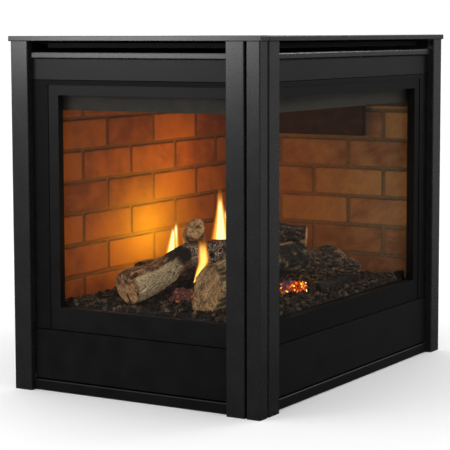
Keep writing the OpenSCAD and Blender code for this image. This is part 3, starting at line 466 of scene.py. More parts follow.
def liner(name, along, start, end, bottom, top, face, back, joints, seed, material, fire):
    """A liner board whose courses run along x or y, from its outline and the places of its face
    and back. joints holds where an upright joint stands in even and odd courses, and fire the
    place along and up where the flames play on it, and how far the painted glow of their light
    reaches there."""
    # s runs along the courses and z up
    across = np.linspace(start, end, round((end - start) / GRID) + 1)
    up = np.linspace(bottom, top, round((top - bottom) / GRID) + 1)
    s, z = [a.ravel() for a in np.meshgrid(across, up)]
    flat = np.column_stack([s, np.full_like(s, seed * 500), z])
    s_bent = s + WAVER * lumps(flat, 30, seed)
    z_bent = z + WAVER * lumps(flat, 34, seed + 1)
    # Each point's course and brick, and how far it is from their edges
    course = np.floor((z_bent - FIRST_COURSE) / COURSE)
    shift = np.where(course % 2 == 0, joints[0], joints[1])
    number = np.floor((s_bent - shift) / BRICK)
    to_side = s_bent - shift - number * BRICK
    to_bed = z_bent - FIRST_COURSE - course * COURSE
    side = np.minimum(to_side, BRICK - to_side) - JOINT / 2
    bed = np.minimum(to_bed, COURSE - to_bed) - JOINT / 2
    inset = CORNER_R - np.hypot(np.maximum(0, CORNER_R - side), np.maximum(0, CORNER_R - bed))
    proud = ease((inset + 1.0) / CAST_EDGE)
    # Each brick's own number from 0 to 1
    tone = np.sin(course * 127.1 + number * 311.7 + seed) * 43758.5
    tone = tone - np.floor(tone)
    # The combed strokes of the mould run at a slant that differs from brick to brick
    slant = (tone - 0.5) * 1.6 + 0.7
    stroke = np.column_stack([s * slant + z, (z * slant - s) / 7, number * 70 + course * 31])
    comb = lumps(stroke, STROKE_WIDTH, seed + 2, 2)
    rough = 0.2 * comb + 0.4 * lumps(flat, 26, seed + 3, 3)
    hollow = ease((lumps(flat, HOLLOW_WIDTH, seed + 4) - 0.45) * 3) * 0.5
    # Joints are sunk and faces a little rough and hollow
    depth = (1 - proud) * (RELIEF - 0.7 + 0.6 * lumps(flat, 7, seed + 5, 2))
    depth += proud * np.clip(FACE_DEPTH + rough * 0.5 + hollow, 0.05, 2.2)
    depth = np.clip(depth, 0.02, RELIEF)
    # Soot and painted shade gather in the crease over each brick and beside it, on the sides that
    #     face away from the flames' light
    upper = (to_bed > COURSE / 2) & (bed < side)
    beside = (to_side < BRICK / 2) & (side < bed)
    crease_soot_and_shade = np.exp(-(((inset + 0.4) / 1.9) ** 2)) * (0.25 + 0.6 * upper + 0.5 * beside)
    crease_soot_and_shade *= 0.75 + 0.5 * lumps(flat, 60, seed + 6)
    # A painted glow of the fire's light, strongest where the flames play on the board
    painted_fire_glow = 0.5 * np.exp(-(((s - fire[0]) / fire[2]) ** 2) - ((z - fire[1]) / fire[3]) ** 2)
    # A plain back and sides close the board, from the points round its rim
    rows, columns = len(up), len(across)
    rim = (
        list(range(columns))
        + [r * columns + columns - 1 for r in range(1, rows)]
        + [(rows - 1) * columns + c for c in range(columns - 2, -1, -1)]
        + [r * columns for r in range(rows - 2, 0, -1)]
    )
    count = rows * columns
    s = np.concatenate([s, s[rim]])
    z = np.concatenate([z, z[rim]])
    depth = np.concatenate([depth, np.full(len(rim), back - face)])
    joint = np.concatenate([1 - proud, np.zeros(len(rim))])
    none = np.zeros(len(rim))
    values = {
        "joint": joint,
        "tone": np.concatenate([tone, none + 0.5]),
        "stroke": np.concatenate([0.5 + comb, none + 0.5]),
        "crease_soot_and_shade": np.concatenate([crease_soot_and_shade, none]),
        "painted_fire_glow": np.concatenate([painted_fire_glow, none]),
    }
    faces = grid_faces(rows, columns)
    for i, first in enumerate(rim):
        j = (i + 1) % len(rim)
        faces.append((rim[j], first, count + i, count + j))
    faces.append(tuple(count + i for i in range(len(rim) - 1, -1, -1)))
    if along == "x":
        points = np.column_stack([s, face + depth, z])
    else:
        points = np.column_stack([face + depth, s, z])
        faces = [f[::-1] for f in faces]
    return new_piece(name, points, faces, material, values)


back_low, back_high = [Vector(p) * 1000 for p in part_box("brick_liner_back")]
end_low, end_high = [Vector(p) * 1000 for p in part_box("brick_liner_end")]
# Both boards are the same brick. The back board's redder shades are partly painted fire light, and
# the end board's paler tan is partly painted room light.
back_brick = brick_material(
    "fire_lit_refractory_brick_red",
    shades=("#783b16", "#944c19", "#a6591c", "#8c4a1a"),
    sands=("#6a3e18", "#7c4c1e"),
    # A painted glow of the fire's light, yellow near the flames
    char_and_fire_glow="#c8922c",
)
back_liner = liner(
    "back_liner", "x", back_low.x, back_high.x, back_low.z, back_high.z, back_low.y, back_high.y,
    joints=(-117, -1), seed=3, material=back_brick, fire=(-20, 390, 210, 130),
)
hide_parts("brick_liner_back")
end_brick = brick_material(
    "room_lit_refractory_brick_tan",
    shades=("#5e402a", "#79573c", "#8c6c44", "#72543c"),
    sands=("#4e4434", "#605440"),
    # A painted glow of the fire's light, redder where the flames are near
    char_and_fire_glow="#7a3a1a",
)
end_liner = liner(
    "end_liner", "y", end_low.y, end_high.y, end_low.z, end_high.z, end_low.x, end_high.x,
    joints=(-129, -13), seed=11, material=end_brick, fire=(80, 470, 230, 230),
)

# The flue outlet is cut through the end liner behind the baffle
FLUE_R = 50.8
vent_low, vent_high = [Vector(p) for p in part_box("flue_collar")]
bpy.ops.mesh.primitive_cylinder_add(
    vertices=48,
    radius=FLUE_R / 1000,
    depth=0.2,
    location=(end_low.x / 1000, (vent_low.y + vent_high.y) / 2, (vent_low.z + vent_high.z) / 2),
    rotation=(0, math.pi / 2, 0),
)
drill = bpy.context.object
bore = end_liner.modifiers.new("flue_outlet", "BOOLEAN")
bore.operation = "DIFFERENCE"
bore.object = drill
bore.solver = "EXACT"
bored = bpy.data.meshes.new_from_object(
    end_liner.evaluated_get(bpy.context.evaluated_depsgraph_get())
)
end_liner.modifiers.remove(bore)
end_liner.data = bored
bpy.data.objects.remove(drill)
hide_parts("brick_liner_end")


# ------------------------------------------------------------------------- bed of lava rock
# A layer of dark crushed lava rock, 10 to 20 mm, dull and full of pores, that lies loose over the
# burner tray. Each stone has its own shade from black to a pale dusty brown.
BLUNTNESS = 0.72  # from a block's corners at 0 to a ball at 1
LEAST_STONE = (0.55, 0.5, 0.4)
MOST_STONE = (1.25, 1.0, 0.8)
FULL_TURN = (6.28, 6.28, 6.28)  # about each axis, in radians
MOST_STONES = 9000.0  # to a square metre, before those too close together go
CHIP = 6.25  # size of the chips broken off a stone, mm
PORE = 4.35  # size of the pores, drawn coarse enough to show
TRAY_RIM = 2.0
GROUND_STEP = 6.0
BUMP_WIDTH, BUMP_HEIGHT = 22.0, 2.2


def stone_layer_tree(material):
    """Nodes that strew blunt broken stones over a mesh and may keep the mesh under them."""
    tree = bpy.data.node_groups.new("strewn_stones", "GeometryNodeTree")
    for name, kind in (
        ("Ground", "NodeSocketGeometry"),
        ("Stone width", "NodeSocketFloat"),
        ("Spacing", "NodeSocketFloat"),
        ("Seed", "NodeSocketInt"),
        ("Keep ground", "NodeSocketBool"),
    ):
        tree.interface.new_socket(name, in_out="INPUT", socket_type=kind)
    tree.interface.new_socket("Stones", in_out="OUTPUT", socket_type="NodeSocketGeometry")
    given = add(tree, "NodeGroupInput").outputs
    spots = add(
        tree,
        "GeometryNodeDistributePointsOnFaces",
        {
            "Mesh": given["Ground"],
            "Distance Min": given["Spacing"],
            "Density Max": MOST_STONES,
            "Seed": given["Seed"],
        },
        distribute_method="POISSON",
    )
    shade = add(
        tree, "FunctionNodeRandomValue", {2: 0.0, 3: 1.0, "Seed": given["Seed"]}, data_type="FLOAT"
    )
    marked = add(
        tree,
        "GeometryNodeStoreNamedAttribute",
        {"Geometry": spots.outputs["Points"], "Name": "shade", "Value": shade.outputs[1]},
        data_type="FLOAT",
        domain="POINT",
    )
    block = add(
        tree,
        "GeometryNodeMeshCube",
        {"Size": (1, 1, 1), "Vertices X": 3, "Vertices Y": 3, "Vertices Z": 3},
    )
    here = add(tree, "GeometryNodeInputPosition").outputs[0]
    ball = add(tree, "ShaderNodeVectorMath", {0: here}, operation="NORMALIZE")
    half = add(tree, "ShaderNodeVectorMath", {0: ball.outputs[0], 3: 0.5}, operation="SCALE")
    blunt = add(
        tree, "ShaderNodeMix", {0: BLUNTNESS, 4: here, 5: half.outputs[0]}, data_type="VECTOR"
    )
    stone = add(
        tree,
        "GeometryNodeSetPosition",
        {"Geometry": block.outputs[0], "Position": blunt.outputs[1]},
    )
    turn = add(
        tree,
        "FunctionNodeRandomValue",
        {0: (0, 0, 0), 1: FULL_TURN, "Seed": given["Seed"]},
        data_type="FLOAT_VECTOR",
    )
    size = add(
        tree,
        "FunctionNodeRandomValue",
        {0: LEAST_STONE, 1: MOST_STONE, "Seed": given["Seed"]},
        data_type="FLOAT_VECTOR",
    )
    width = add(
        tree,
        "ShaderNodeVectorMath",
        {0: size.outputs[0], 3: given["Stone width"]},
        operation="SCALE",
    )
    laid = add(
        tree,
        "GeometryNodeInstanceOnPoints",
        {
            "Points": marked.outputs[0],
            "Instance": stone.outputs[0],
            "Rotation": turn.outputs[0],
            "Scale": width.outputs[0],
        },
    )
    loose = add(tree, "GeometryNodeRealizeInstances", {0: laid.outputs[0]})
    spot = add(tree, "GeometryNodeInputPosition").outputs[0]
    jag = add(tree, "ShaderNodeTexNoise", {"Vector": spot, "Scale": 1000 / CHIP, "Detail": 2.0})
    middle = add(
        tree, "ShaderNodeVectorMath", {0: jag.outputs[1], 1: (0.5, 0.5, 0.5)}, operation="SUBTRACT"
    )
    push = add(
        tree, "ShaderNodeVectorMath", {0: middle.outputs[0], 3: given["Stone width"]},
        operation="SCALE",
    )
    broken = add(
        tree, "GeometryNodeSetPosition", {"Geometry": loose.outputs[0], "Offset": push.outputs[0]}
    )
    kept = add(
        tree,
        "GeometryNodeSwitch",
        {0: given["Keep ground"], 2: given["Ground"]},
        input_type="GEOMETRY",
    )
    both = add(tree, "GeometryNodeJoinGeometry")
    tree.links.new(broken.outputs[0], both.inputs[0])
    tree.links.new(kept.outputs[0], both.inputs[0])
    dyed = add(tree, "GeometryNodeSetMaterial", {"Geometry": both.outputs[0], "Material": material})
    add(tree, "NodeGroupOutput", {0: dyed.outputs[0]})
    return tree


def strew(name, ground_points, ground_faces, material, **inputs):
    """Stones over a patch of ground, as one plain mesh. The ground's points are in mm, and the
    inputs for the stones in metres."""
    mesh = bpy.data.meshes.new(name)
    mesh.from_pydata([tuple(p) for p in np.asarray(ground_points) / 1000], [], ground_faces)
    piece = bpy.data.objects.new(name, mesh)
    bpy.context.scene.collection.objects.link(piece)
    tree = stone_layer_tree(material)
    layer = piece.modifiers.new("stones", "NODES")
    layer.node_group = tree
    sockets = {i.name: i.identifier for i in tree.interface.items_tree if i.in_out == "INPUT"}
    for key, value in inputs.items():
        layer[sockets[key.replace("_", " ")]] = value
    solid = bpy.data.meshes.new_from_object(
        piece.evaluated_get(bpy.context.evaluated_depsgraph_get())
    )
    piece.modifiers.remove(layer)
    piece.data = solid
    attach(piece, "cabinet")
    return piece


tray_low, tray_high = [Vector(p) * 1000 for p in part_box("burner_tray")]
floor_low = Vector(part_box("firebox_floor")[0]) * 1000
BED_TOP = floor_low.z + 31.0  # height of the stones' top, mm
DECK = floor_low.z + 23.0  # height of the tray's top


def bed_ground(x0, x1, y0, y1):
    """The bumpy ground under the stones, whose rim comes down to the deck."""
    xs = np.linspace(x0, x1, round((x1 - x0) / GROUND_STEP) + 1)
    ys = np.linspace(y0, y1, round((y1 - y0) / GROUND_STEP) + 1)
    x, y = [a.ravel() for a in np.meshgrid(xs, ys)]
    z = BED_TOP + BUMP_HEIGHT * lumps(np.column_stack([x, y, x * 0]), BUMP_WIDTH, 21, 3) - 1.5
    edge = (x == x0) | (x == x1) | (y == y0) | (y == y1)
    z[edge] = DECK + 0.2
    points = np.column_stack([x, y, z])
    return points, grid_faces(len(ys), len(xs))


lava_rock, rock_tree, rock_shader = new_material(
    "crushed_lava_rock", Roughness=0.92, Specular_IOR_Level=0.2
)
rock_place = add(rock_tree, "ShaderNodeTexCoord").outputs["Object"]
rock_shade = add(rock_tree, "ShaderNodeAttribute", attribute_name="shade").outputs["Fac"]
pores = add(
    rock_tree, "ShaderNodeTexNoise", {"Vector": rock_place, "Scale": 1000 / PORE, "Detail": 3.0}
)
rock_level = add(
    rock_tree, "ShaderNodeMath", {0: pores.outputs[0], 1: 0.9, 2: rock_shade},
    operation="MULTIPLY_ADD",
)
rock_half = add(
    rock_tree, "ShaderNodeMath", {0: rock_level.outputs[0], 1: 0.5}, operation="MULTIPLY"
)
rock_colour = add(
    rock_tree, "ShaderNodeValToRGB", {0: rock_half.outputs[0]},
    stops=(
        (0.2, "#070504"), (0.45, "#211812"), (0.62, "#44362b"), (0.74, "#6c5c4a"),
        (0.82, "#86745c"),
    ),
)
rock_bump = add(
    rock_tree, "ShaderNodeBump", {"Height": pores.outputs[0], "Distance": 0.0012, "Strength": 1.0}
)
rock_tree.links.new(rock_colour.outputs[0], rock_shader.inputs["Base Color"])
rock_tree.links.new(rock_bump.outputs[0], rock_shader.inputs["Normal"])
ground, ground_faces = bed_ground(
    tray_low.x + TRAY_RIM, tray_high.x - TRAY_RIM, tray_low.y + TRAY_RIM, tray_high.y - TRAY_RIM
)
lava = strew(
    "lava_rock_bed", ground, ground_faces, lava_rock,
    Stone_width=0.0155, Spacing=0.0118, Seed=7, Keep_ground=True,
)
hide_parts("lava_bed")


# -------------------------------------------------------------------------------------- logs
# Eight logs cast in ceramic fibre from real wood and painted by hand: bark in fine broken ridges
# along the log, black charred stretches with specks of pale ash, a split face of thin layers, and
# sawn or broken ends in pale tan. They rest on each other and on the supports of the tray.
LOG_STEP = 2.2  # spacing of the points of the bark, mm
END_ROWS = 14  # rows of points over an end
END_GAP = 3.0  # from an end to the bark's first row
COARSE_LUMP = 34.0
FINE_LUMP = 5.0
COARSE_DEPTH, FINE_DEPTH = 2.4, 1.3
HUMP_WIDTH = 0.2  # as a share of the length
SIDE_BOW, UP_BOW = 6, 3
OVAL, LOBED = 0.05, 0.03  # how far a section is from round, as shares of the radius
WOOD_LAYER = 7.5  # thickness of a layer of the split wood
LAYER_STEP, SPLIT_CRUMB = 2.2, 1.2  # depth of its steps and of its crumbs
CHECK_DEPTH = 2.0  # depth of the cracks in an end
BARK_LAP = 5.0  # how far bark laps over an end
BED_DIP = 3.0  # how deep a log may reach into the stones
BLOTCH_SIZE = 25.0
CRUMB_SIZE = 4.17
FIBRE_SIZE = 2.38  # the fuzz of the fibre, drawn coarse enough to show
ASH_CURL_SIZE = 5.26
CHARCOAL = "#120a07"
SPLIT_WOOD = ((0.52, "#42301e"), (0.72, "#f2d2a0"), (0.94, "#fff6da"))
SAWN_WOOD = ((0.52, "#50392a"), (0.74, "#a47c56"), (0.98, "#d4ae80"))


def unit(arrow):
    """The same direction with length 1."""
    return arrow / np.linalg.norm(arrow)


def log_material(name, bark, ash="#15100d"):
    """Painted ceramic fibre, dull and fuzzy. Values on the mesh say where it is cut, split or
    charred, and weave says how high a point lies on the bark: dark in the furrows and pale on
    the ridges, partly the paint of the log and partly painted shade in the furrows and painted
    highlight on the ridges. Where it is charred, curls of ash lie on the black."""
    material, tree, shader = new_material(name, Roughness=0.9, Specular_IOR_Level=0.2)
    place = add(tree, "ShaderNodeTexCoord").outputs["Object"]
    value = {
        key: add(tree, "ShaderNodeAttribute", attribute_name=key).outputs["Fac"]
        for key in ("cut", "split", "char", "weave")
    }
    blotch, crumbs, fibre, curl = [
        add(
            tree, "ShaderNodeTexNoise", {"Vector": place, "Scale": 1000 / size, "Detail": fine}
        ).outputs[0]
        for size, fine in (
            (BLOTCH_SIZE, 3.0), (CRUMB_SIZE, 2.0), (FIBRE_SIZE, 2.0), (ASH_CURL_SIZE, 1.0)
        )
    ]
    level = value["weave"]
    for noise, share in ((blotch, 0.3), (crumbs, 1.3)):
        level = add(
            tree, "ShaderNodeMath", {0: noise, 1: share, 2: level}, operation="MULTIPLY_ADD"
        ).outputs[0]
    level = add(
        tree, "ShaderNodeMath", {0: level, 1: 0.5, 2: 0.125}, operation="MULTIPLY_ADD"
    ).outputs[0]
    bark_steps = [(0.5 + 0.52 * i / (len(bark) - 1), c) for i, c in enumerate(bark)]
    colour, pale, sawn = [
        add(tree, "ShaderNodeValToRGB", {0: level}, stops=stops).outputs[0]
        for stops in (bark_steps, SPLIT_WOOD, SAWN_WOOD)
    ]
    # Ash curls along the lines where the noise crosses its middle
    ring = add(tree, "ShaderNodeMath", {0: curl, 1: 0.5}, operation="SUBTRACT")
    ring = add(tree, "ShaderNodeMath", {0: ring.outputs[0]}, operation="ABSOLUTE")
    curls = add(
        tree, "ShaderNodeMapRange", {0: ring.outputs[0], 1: 0.055, 2: 0.022, 3: 0.0, 4: 1.0}
    )
    patch = add(tree, "ShaderNodeMapRange", {0: blotch, 1: 0.34, 2: 0.52})
    specks = add(
        tree, "ShaderNodeMath", {0: curls.outputs[0], 1: patch.outputs[0]}, operation="MULTIPLY"
    )
    char_and_fire_glow = add(
        tree, "ShaderNodeMix", {0: specks.outputs[0], 6: linear(CHARCOAL), 7: linear(ash)},
        data_type="RGBA",
    ).outputs[2]
    for amount, over in ((value["split"], pale), (value["cut"], sawn), (value["char"], char_and_fire_glow)):
        colour = add(
            tree, "ShaderNodeMix", {0: amount, 6: colour, 7: over}, data_type="RGBA"
        ).outputs[2]
    bump = add(tree, "ShaderNodeBump", {"Height": fibre, "Distance": 0.0008, "Strength": 0.9})
    tree.links.new(colour, shader.inputs["Base Color"])
    tree.links.new(bump.outputs[0], shader.inputs["Normal"])
    return material


log_red_brown = log_material(
    "cast_fibre_log_red_brown", ("#140c08", "#46301f", "#8a6244", "#b8906a"), "#3a2c22"
)
log_khaki = log_material("cast_fibre_log_khaki", ("#17130d", "#4c4030", "#8c7656", "#c4ab82"))
log_dark = log_material("cast_fibre_log_dark", ("#050302", "#130d09", "#33241a", "#7c6248"))
log_black = log_material(
    "cast_fibre_log_charred", ("#0a0706", "#1a120e", "#3a2a20", "#6e5642"), "#fbdcc6"
)


def bark_weave(rim, seed, grain):
    """Height of the bark from -1 to 1, in ridges and threads that run along the log."""
    ridge = np.clip(1 - 3.0 * np.abs(lumps((rim + seed * 91) * (1, 1, 0.2), grain, seed, 2)), -1, 1)
    thread = np.clip(
        2.2 * lumps((rim + seed * 17) * (1, 1, 0.28), grain * 0.43, seed + 1, 2), -1, 1
    )
    return 0.5 * ridge + 0.5 * thread


def split_face(split, rim, r, t, turn, length, seed):
    """Where a log is split flat, from 0 to 1, its radius there, and the steps of its layers."""
    middle, half, start, end = split
    off = (turn - middle + 180) % 360 - 180
    away = np.abs(off) / half
    flat = ease((1.25 - away) * 3) * ease((t - start) * 14 + 0.5) * ease((end - t) * 9)
    flat *= ease(1.3 + 1.4 * lumps(rim * (1, 1, 0.6), 22, seed + 5, 3))
    plane = r * math.cos(math.radians(half)) / np.maximum(0.3, np.cos(np.radians(turn - middle)))
    r = r + (np.minimum(r, plane) - r) * flat * (away < 1.25)
    # The layers of the wood stand up in thin steps that run along the log and fork
    across = r * np.radians(off) - 0.22 * t * length
    layer = across / WOOD_LAYER + 1.3 * lumps(rim * (1, 1, 0.3) + seed * 7, 14, seed + 6, 3)
    return flat, r, (layer - np.floor(layer)) * 2 - 1


def closed_tube(rows, sides):
    """The points kept of a tube whose first and last rows meet in one point each, and its faces."""
    keep = [0] + list(range(sides, (rows - 1) * sides)) + [(rows - 1) * sides]
    faces = []
    for i in range(1, rows - 2):
        for j in range(sides):
            k = (j + 1) % sides
            base = 1 + (i - 1) * sides
            faces.append((base + j, base + k, base + sides + k, base + sides + j))
    last = 1 + (rows - 2) * sides
    for j in range(sides):
        k = (j + 1) % sides
        faces.append((0, 1 + k, 1 + j))
        faces.append((last, last - sides + j, last - sides + k))
    return keep, faces


def log(name, near, far, radii, seed, material, hump=(0, 0), bark=2.6, ragged=(1.5, 1.5),
        split=None, char=None, sawn=(1, 1), slant=0, brow=2.0, grain=15):
    """A log from near to far, placed from the glass corner of the firebox and the bed top. hump
    is a swelling's place and height, bark the depth of the bark, and ragged and sawn say how
    rough and how pale the two ends are. split gives a flat split face as angle, half width,
    start, end. char gives the charred stretch as start, end and the angle of its middle. slant
    sets the near end back at the top, where it is cut at an angle. Over brow, as a share of the
    radius, bark covers the near end. grain is the width of a ridge of the bark."""
    corner = np.array([floor_low.x, floor_low.y, BED_TOP])
    a, b = corner + near, corner + far
    length = np.linalg.norm(b - a)
    along = unit(b - a)
    side = unit(np.cross(along, (0, 0, 1)))
    up = np.cross(side, along)
    # Rows of points: t is a row's place along the log, f its share of the radius, q the angle
    sides = max(48, round(2 * math.pi * max(radii) / LOG_STEP))
    rings = round(length / LOG_STEP)
    cap = [(0, f) for f in np.linspace(0, 0.96, END_ROWS)]
    rows = cap + [(t, 1.0) for t in np.linspace(END_GAP / length, 1 - END_GAP / length, rings)]
    rows += [(1, f) for _, f in reversed(cap)]
    t, f = [np.repeat(v, sides) for v in np.array(rows).T]
    q = np.tile(np.arange(sides) * 2 * math.pi / sides, len(rows))
    turn = np.degrees(q)
    on_cap = (f < 1).astype(float)
    near_half = t < 0.5
    # The log bows and its section isn't round
    bow = np.outer(SIDE_BOW * np.sin(np.radians(180 * t + seed * 40)), side)
    bow += np.outer(UP_BOW * np.sin(np.radians(360 * t + seed * 90)), up)
    r = radii[0] + (radii[1] - radii[0]) * t
    r *= 1 + OVAL * np.sin(np.radians(2 * turn + seed * 77 + t * 315))
    r *= 1 + LOBED * np.sin(np.radians(5 * turn + seed * 31 + t * 549))
    r += hump[1] * np.exp(-(((t - hump[0]) / HUMP_WIDTH) ** 2)) * np.maximum(0, np.sin(q))
    rim = np.column_stack([r * f * np.cos(q), r * f * np.sin(q), t * length])
    # The bark's height also sets its colour: partly painted shade in the furrows and painted
    # highlight on the ridges
    weave = bark_weave(rim, seed, grain)
    coarse = lumps(rim + seed * 13, COARSE_LUMP, seed + 4, 2)
    crumb = lumps(rim, FINE_LUMP, seed + 2, 2)
    relief = bark * (weave - 0.3) + COARSE_DEPTH * coarse + FINE_DEPTH * crumb
    weave = weave + 0.5 * coarse
    flat = np.zeros_like(t)
    if split:
        flat, r, step = split_face(split, rim, r, t, turn, length, seed)
        relief = relief * (1 - flat) + flat * (LAYER_STEP * step + SPLIT_CRUMB * crumb)
        weave = weave * (1 - flat) + flat * (0.02 + 1.25 * step)
    # Out from the middle line stand the radius and the bark, less of it over the ends
    out = np.outer(np.cos(q), side) + np.outer(np.sin(q), up)
    back = slant * (1 - t) * (0.5 + 0.5 * np.sin(q) * r * f / radii[0])
    points = a + np.outer(t * length + back, along) + bow
    points = points + out * ((r + relief * (f >= 1)) * f)[:, None]
    points += out * (relief * (1 - (f >= 1)) * f * 0.9)[:, None]
    # The ends are rough along the log, with checks that run out from the heart
    heart = np.column_stack([np.cos(q), np.sin(q), f * 0.2]) * 9
    checks = ease((lumps(heart, 3.2, seed + 7) - 0.3) * 3)
    torn = np.column_stack(
        [rim[:, 0] + rim[:, 1], (rim[:, 1] - rim[:, 0]) * 0.28, np.zeros_like(q)]
    )
    jag = 0.4 * lumps(rim * (1, 1, 0), 13, seed + 8, 3) + 0.6 * lumps(torn, 9, seed + 10, 3)
    pull = np.where(near_half, ragged[0] * (jag - 0.4), -ragged[1] * (jag - 0.4))
    pull -= np.where(near_half, -1, 1) * CHECK_DEPTH * checks * f
    points += np.outer(pull * on_cap, along)
    # Bark laps over the top of the near end
    over = (np.sin(q) * f - brow + 0.35 * jag) * 6
    cut = on_cap * np.where(near_half, sawn[0], sawn[1])
    cut *= 1 - ease(over) * near_half
    points -= np.outer(BARK_LAP * ease(over) * near_half * on_cap * (1 - f**4), along)
    # An end is darker in its checks, partly the paint of the log and partly painted shade
    grain_end = 0.5 * lumps(rim * (1, 1, 0), 7, seed + 3, 3) + 0.5 * jag - checks
    weave = np.where(on_cap > 0, grain_end * 1.6 - 0.4 * ease((f - 0.9) * 12), weave)
    char_and_fire_glow = np.zeros_like(t)
    if char:
        start, end, top = char
        above = ease(np.sin(q - math.radians(top)) * 1.6 + 0.5)
        char_and_fire_glow = ease((t - start) * 6) * ease((end - t) * 6) * above
        char_and_fire_glow = ease(char_and_fire_glow + 0.8 * lumps(rim, 20, seed + 9, 3) * (char_and_fire_glow > 0.02))
    points[:, 2] = np.maximum(points[:, 2], BED_TOP - BED_DIP)
    keep, faces = closed_tube(len(rows), sides)
    values = {
        "cut": cut[keep] * (1 - char_and_fire_glow[keep] * 0.5),
        "split": flat[keep],
        "char": char_and_fire_glow[keep] * (1 - flat[keep] * 0.7),
        "weave": weave[keep] * 0.5 + 0.5,
    }
    piece = new_piece(name, points[keep], faces, material, values)
    shell = bmesh.new()
    shell.from_mesh(piece.data)
    bmesh.ops.recalc_face_normals(shell, faces=shell.faces)
    shell.to_mesh(piece.data)
    shell.free()
    return piece


front_left_log = log(
    "front_left_log", (50.5, 411.5, 36), (246.5, 350.5, 108), (43, 33), 1, log_red_brown,
    hump=(0.12, 15), split=(-18, 56, 0.04, 0.84), char=(0.6, 1.3, 0), ragged=(4, 2), brow=0.3,
    sawn=(0.8, 1), grain=11,
)
corner_log = log(
    "corner_log", (52, 200, 43), (368.5, 58.5, 121), (63, 39), 2, log_khaki,
    hump=(0.35, 16), bark=3.4, ragged=(8, 3), sawn=(0.35, 0.6), slant=72, char=(0.42, 2.0, -90),
)
charred_log = log(
    "charred_log", (246.5, 359.5, 114), (336.5, 146.5, 131), (33, 33), 6, log_black,
    bark=2.2, char=(-0.5, 1.6, -90), sawn=(0, 0),
)
stub_log = log(
    "stub_log", (188.8, 286.5, 196), (436.5, 435.5, 108), (27, 31), 4, log_red_brown, ragged=(3, 2),
)
top_log = log(
    "top_log", (313.5, 201.5, 183), (379.5, 51.5, 173), (28, 28), 3, log_dark, grain=9,
)
right_log = log(
    "right_log", (391.5, 111.5, 94), (691.5, 62.5, 43), (36, 19), 5, log_dark,
    hump=(0.6, 36), bark=3.4, ragged=(2, 12), sawn=(0, 0.6), grain=9,
)
# The low log is charred along its whole length, and its black is partly painted shade under the
# right log
low_log = log(
    "low_log", (476.5, 68.5, 13), (714.5, 80.5, 16), (18, 17), 6, log_dark,
    char=(-0.5, 1.5, -90), sawn=(0.1, 0.1),
)
back_log = log(
    "back_log", (231.5, 476.5, 45), (486.5, 436.5, 36), (46, 41), 7, log_black, sawn=(0, 0),
)
for piece, name in (
    (front_left_log, "log_front_left"),
    (corner_log, "log_corner"),
    (charred_log, "log_charred"),
    (stub_log, "log_stub"),
    (top_log, "log_top"),
    (right_log, "log_right"),
    (low_log, "logs_low"),
    (back_log, "logs_low"),
):
    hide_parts(name)


# ------------------------------------------------------------------------------------ flames
# Tongues of burning gas, thin orange at the skin and nearly white in the heart, and three dim
# violet wisps over the ports, where the gas burns clean. Each is a few closed shells, one inside
# the other, that fade towards tip and foot.
FLAME_ROWS = 40
FLAME_SIDES = 28
FLAME_DEPTH = 0.55  # depth of a tongue as a share of its width
FLAME_FOOT = 0.9  # how much of its fade a shell has at the foot
FLAME_HEADING = -59.0  # its broad side faces the glass corner
FLAME_TIP = 0.4  # half the width of the last row, mm
FLAME_NEST = 0.28  # how much lower than the skin an inner shell ends


def flame_skin(name, colour, strength):
    """A glowing see-through shell whose fade is a value on the mesh."""
    material, tree, shader = new_material(
        name, Base_Color=linear("#000000"), Roughness=1.0, Specular_IOR_Level=0.0,
        Emission_Color=linear(colour), Emission_Strength=strength,
    )
    fade = add(tree, "ShaderNodeAttribute", attribute_name="fade").outputs["Fac"]
    tree.links.new(fade, shader.inputs["Alpha"])
    return material


# Share of a tongue's width, how solid it is, and what it glows like, from the skin inwards
FLAME_SKINS = (
    (1.00, 0.10, flame_skin("burning_gas_orange_skin", "#ff7d12", 1.2)),
    (0.84, 0.22, flame_skin("burning_gas_orange", "#ff9a1e", 1.5)),
    (0.70, 0.38, flame_skin("burning_gas_yellow", "#ffc23e", 1.9)),
    (0.50, 0.55, flame_skin("burning_gas_pale", "#ffe08c", 2.8)),
    (0.38, 0.88, flame_skin("burning_gas_heart", "#fff6d8", 4.5)),
)
BLUE_SKINS = (
    (1.00, 0.10, flame_skin("burning_gas_violet_skin", "#5a4278", 0.28)),
    (0.70, 0.14, flame_skin("burning_gas_blue", "#4a5488", 0.3)),
    (0.45, 0.22, flame_skin("burning_gas_rose", "#c87a5c", 0.4)),
)


def smoothed(values, times):
    """Values along a line, each drawn towards its neighbours a number of times."""
    for _ in range(times):
        values[1:-1] = (values[:-2] + 2 * values[1:-1] + values[2:]) / 4
    return values


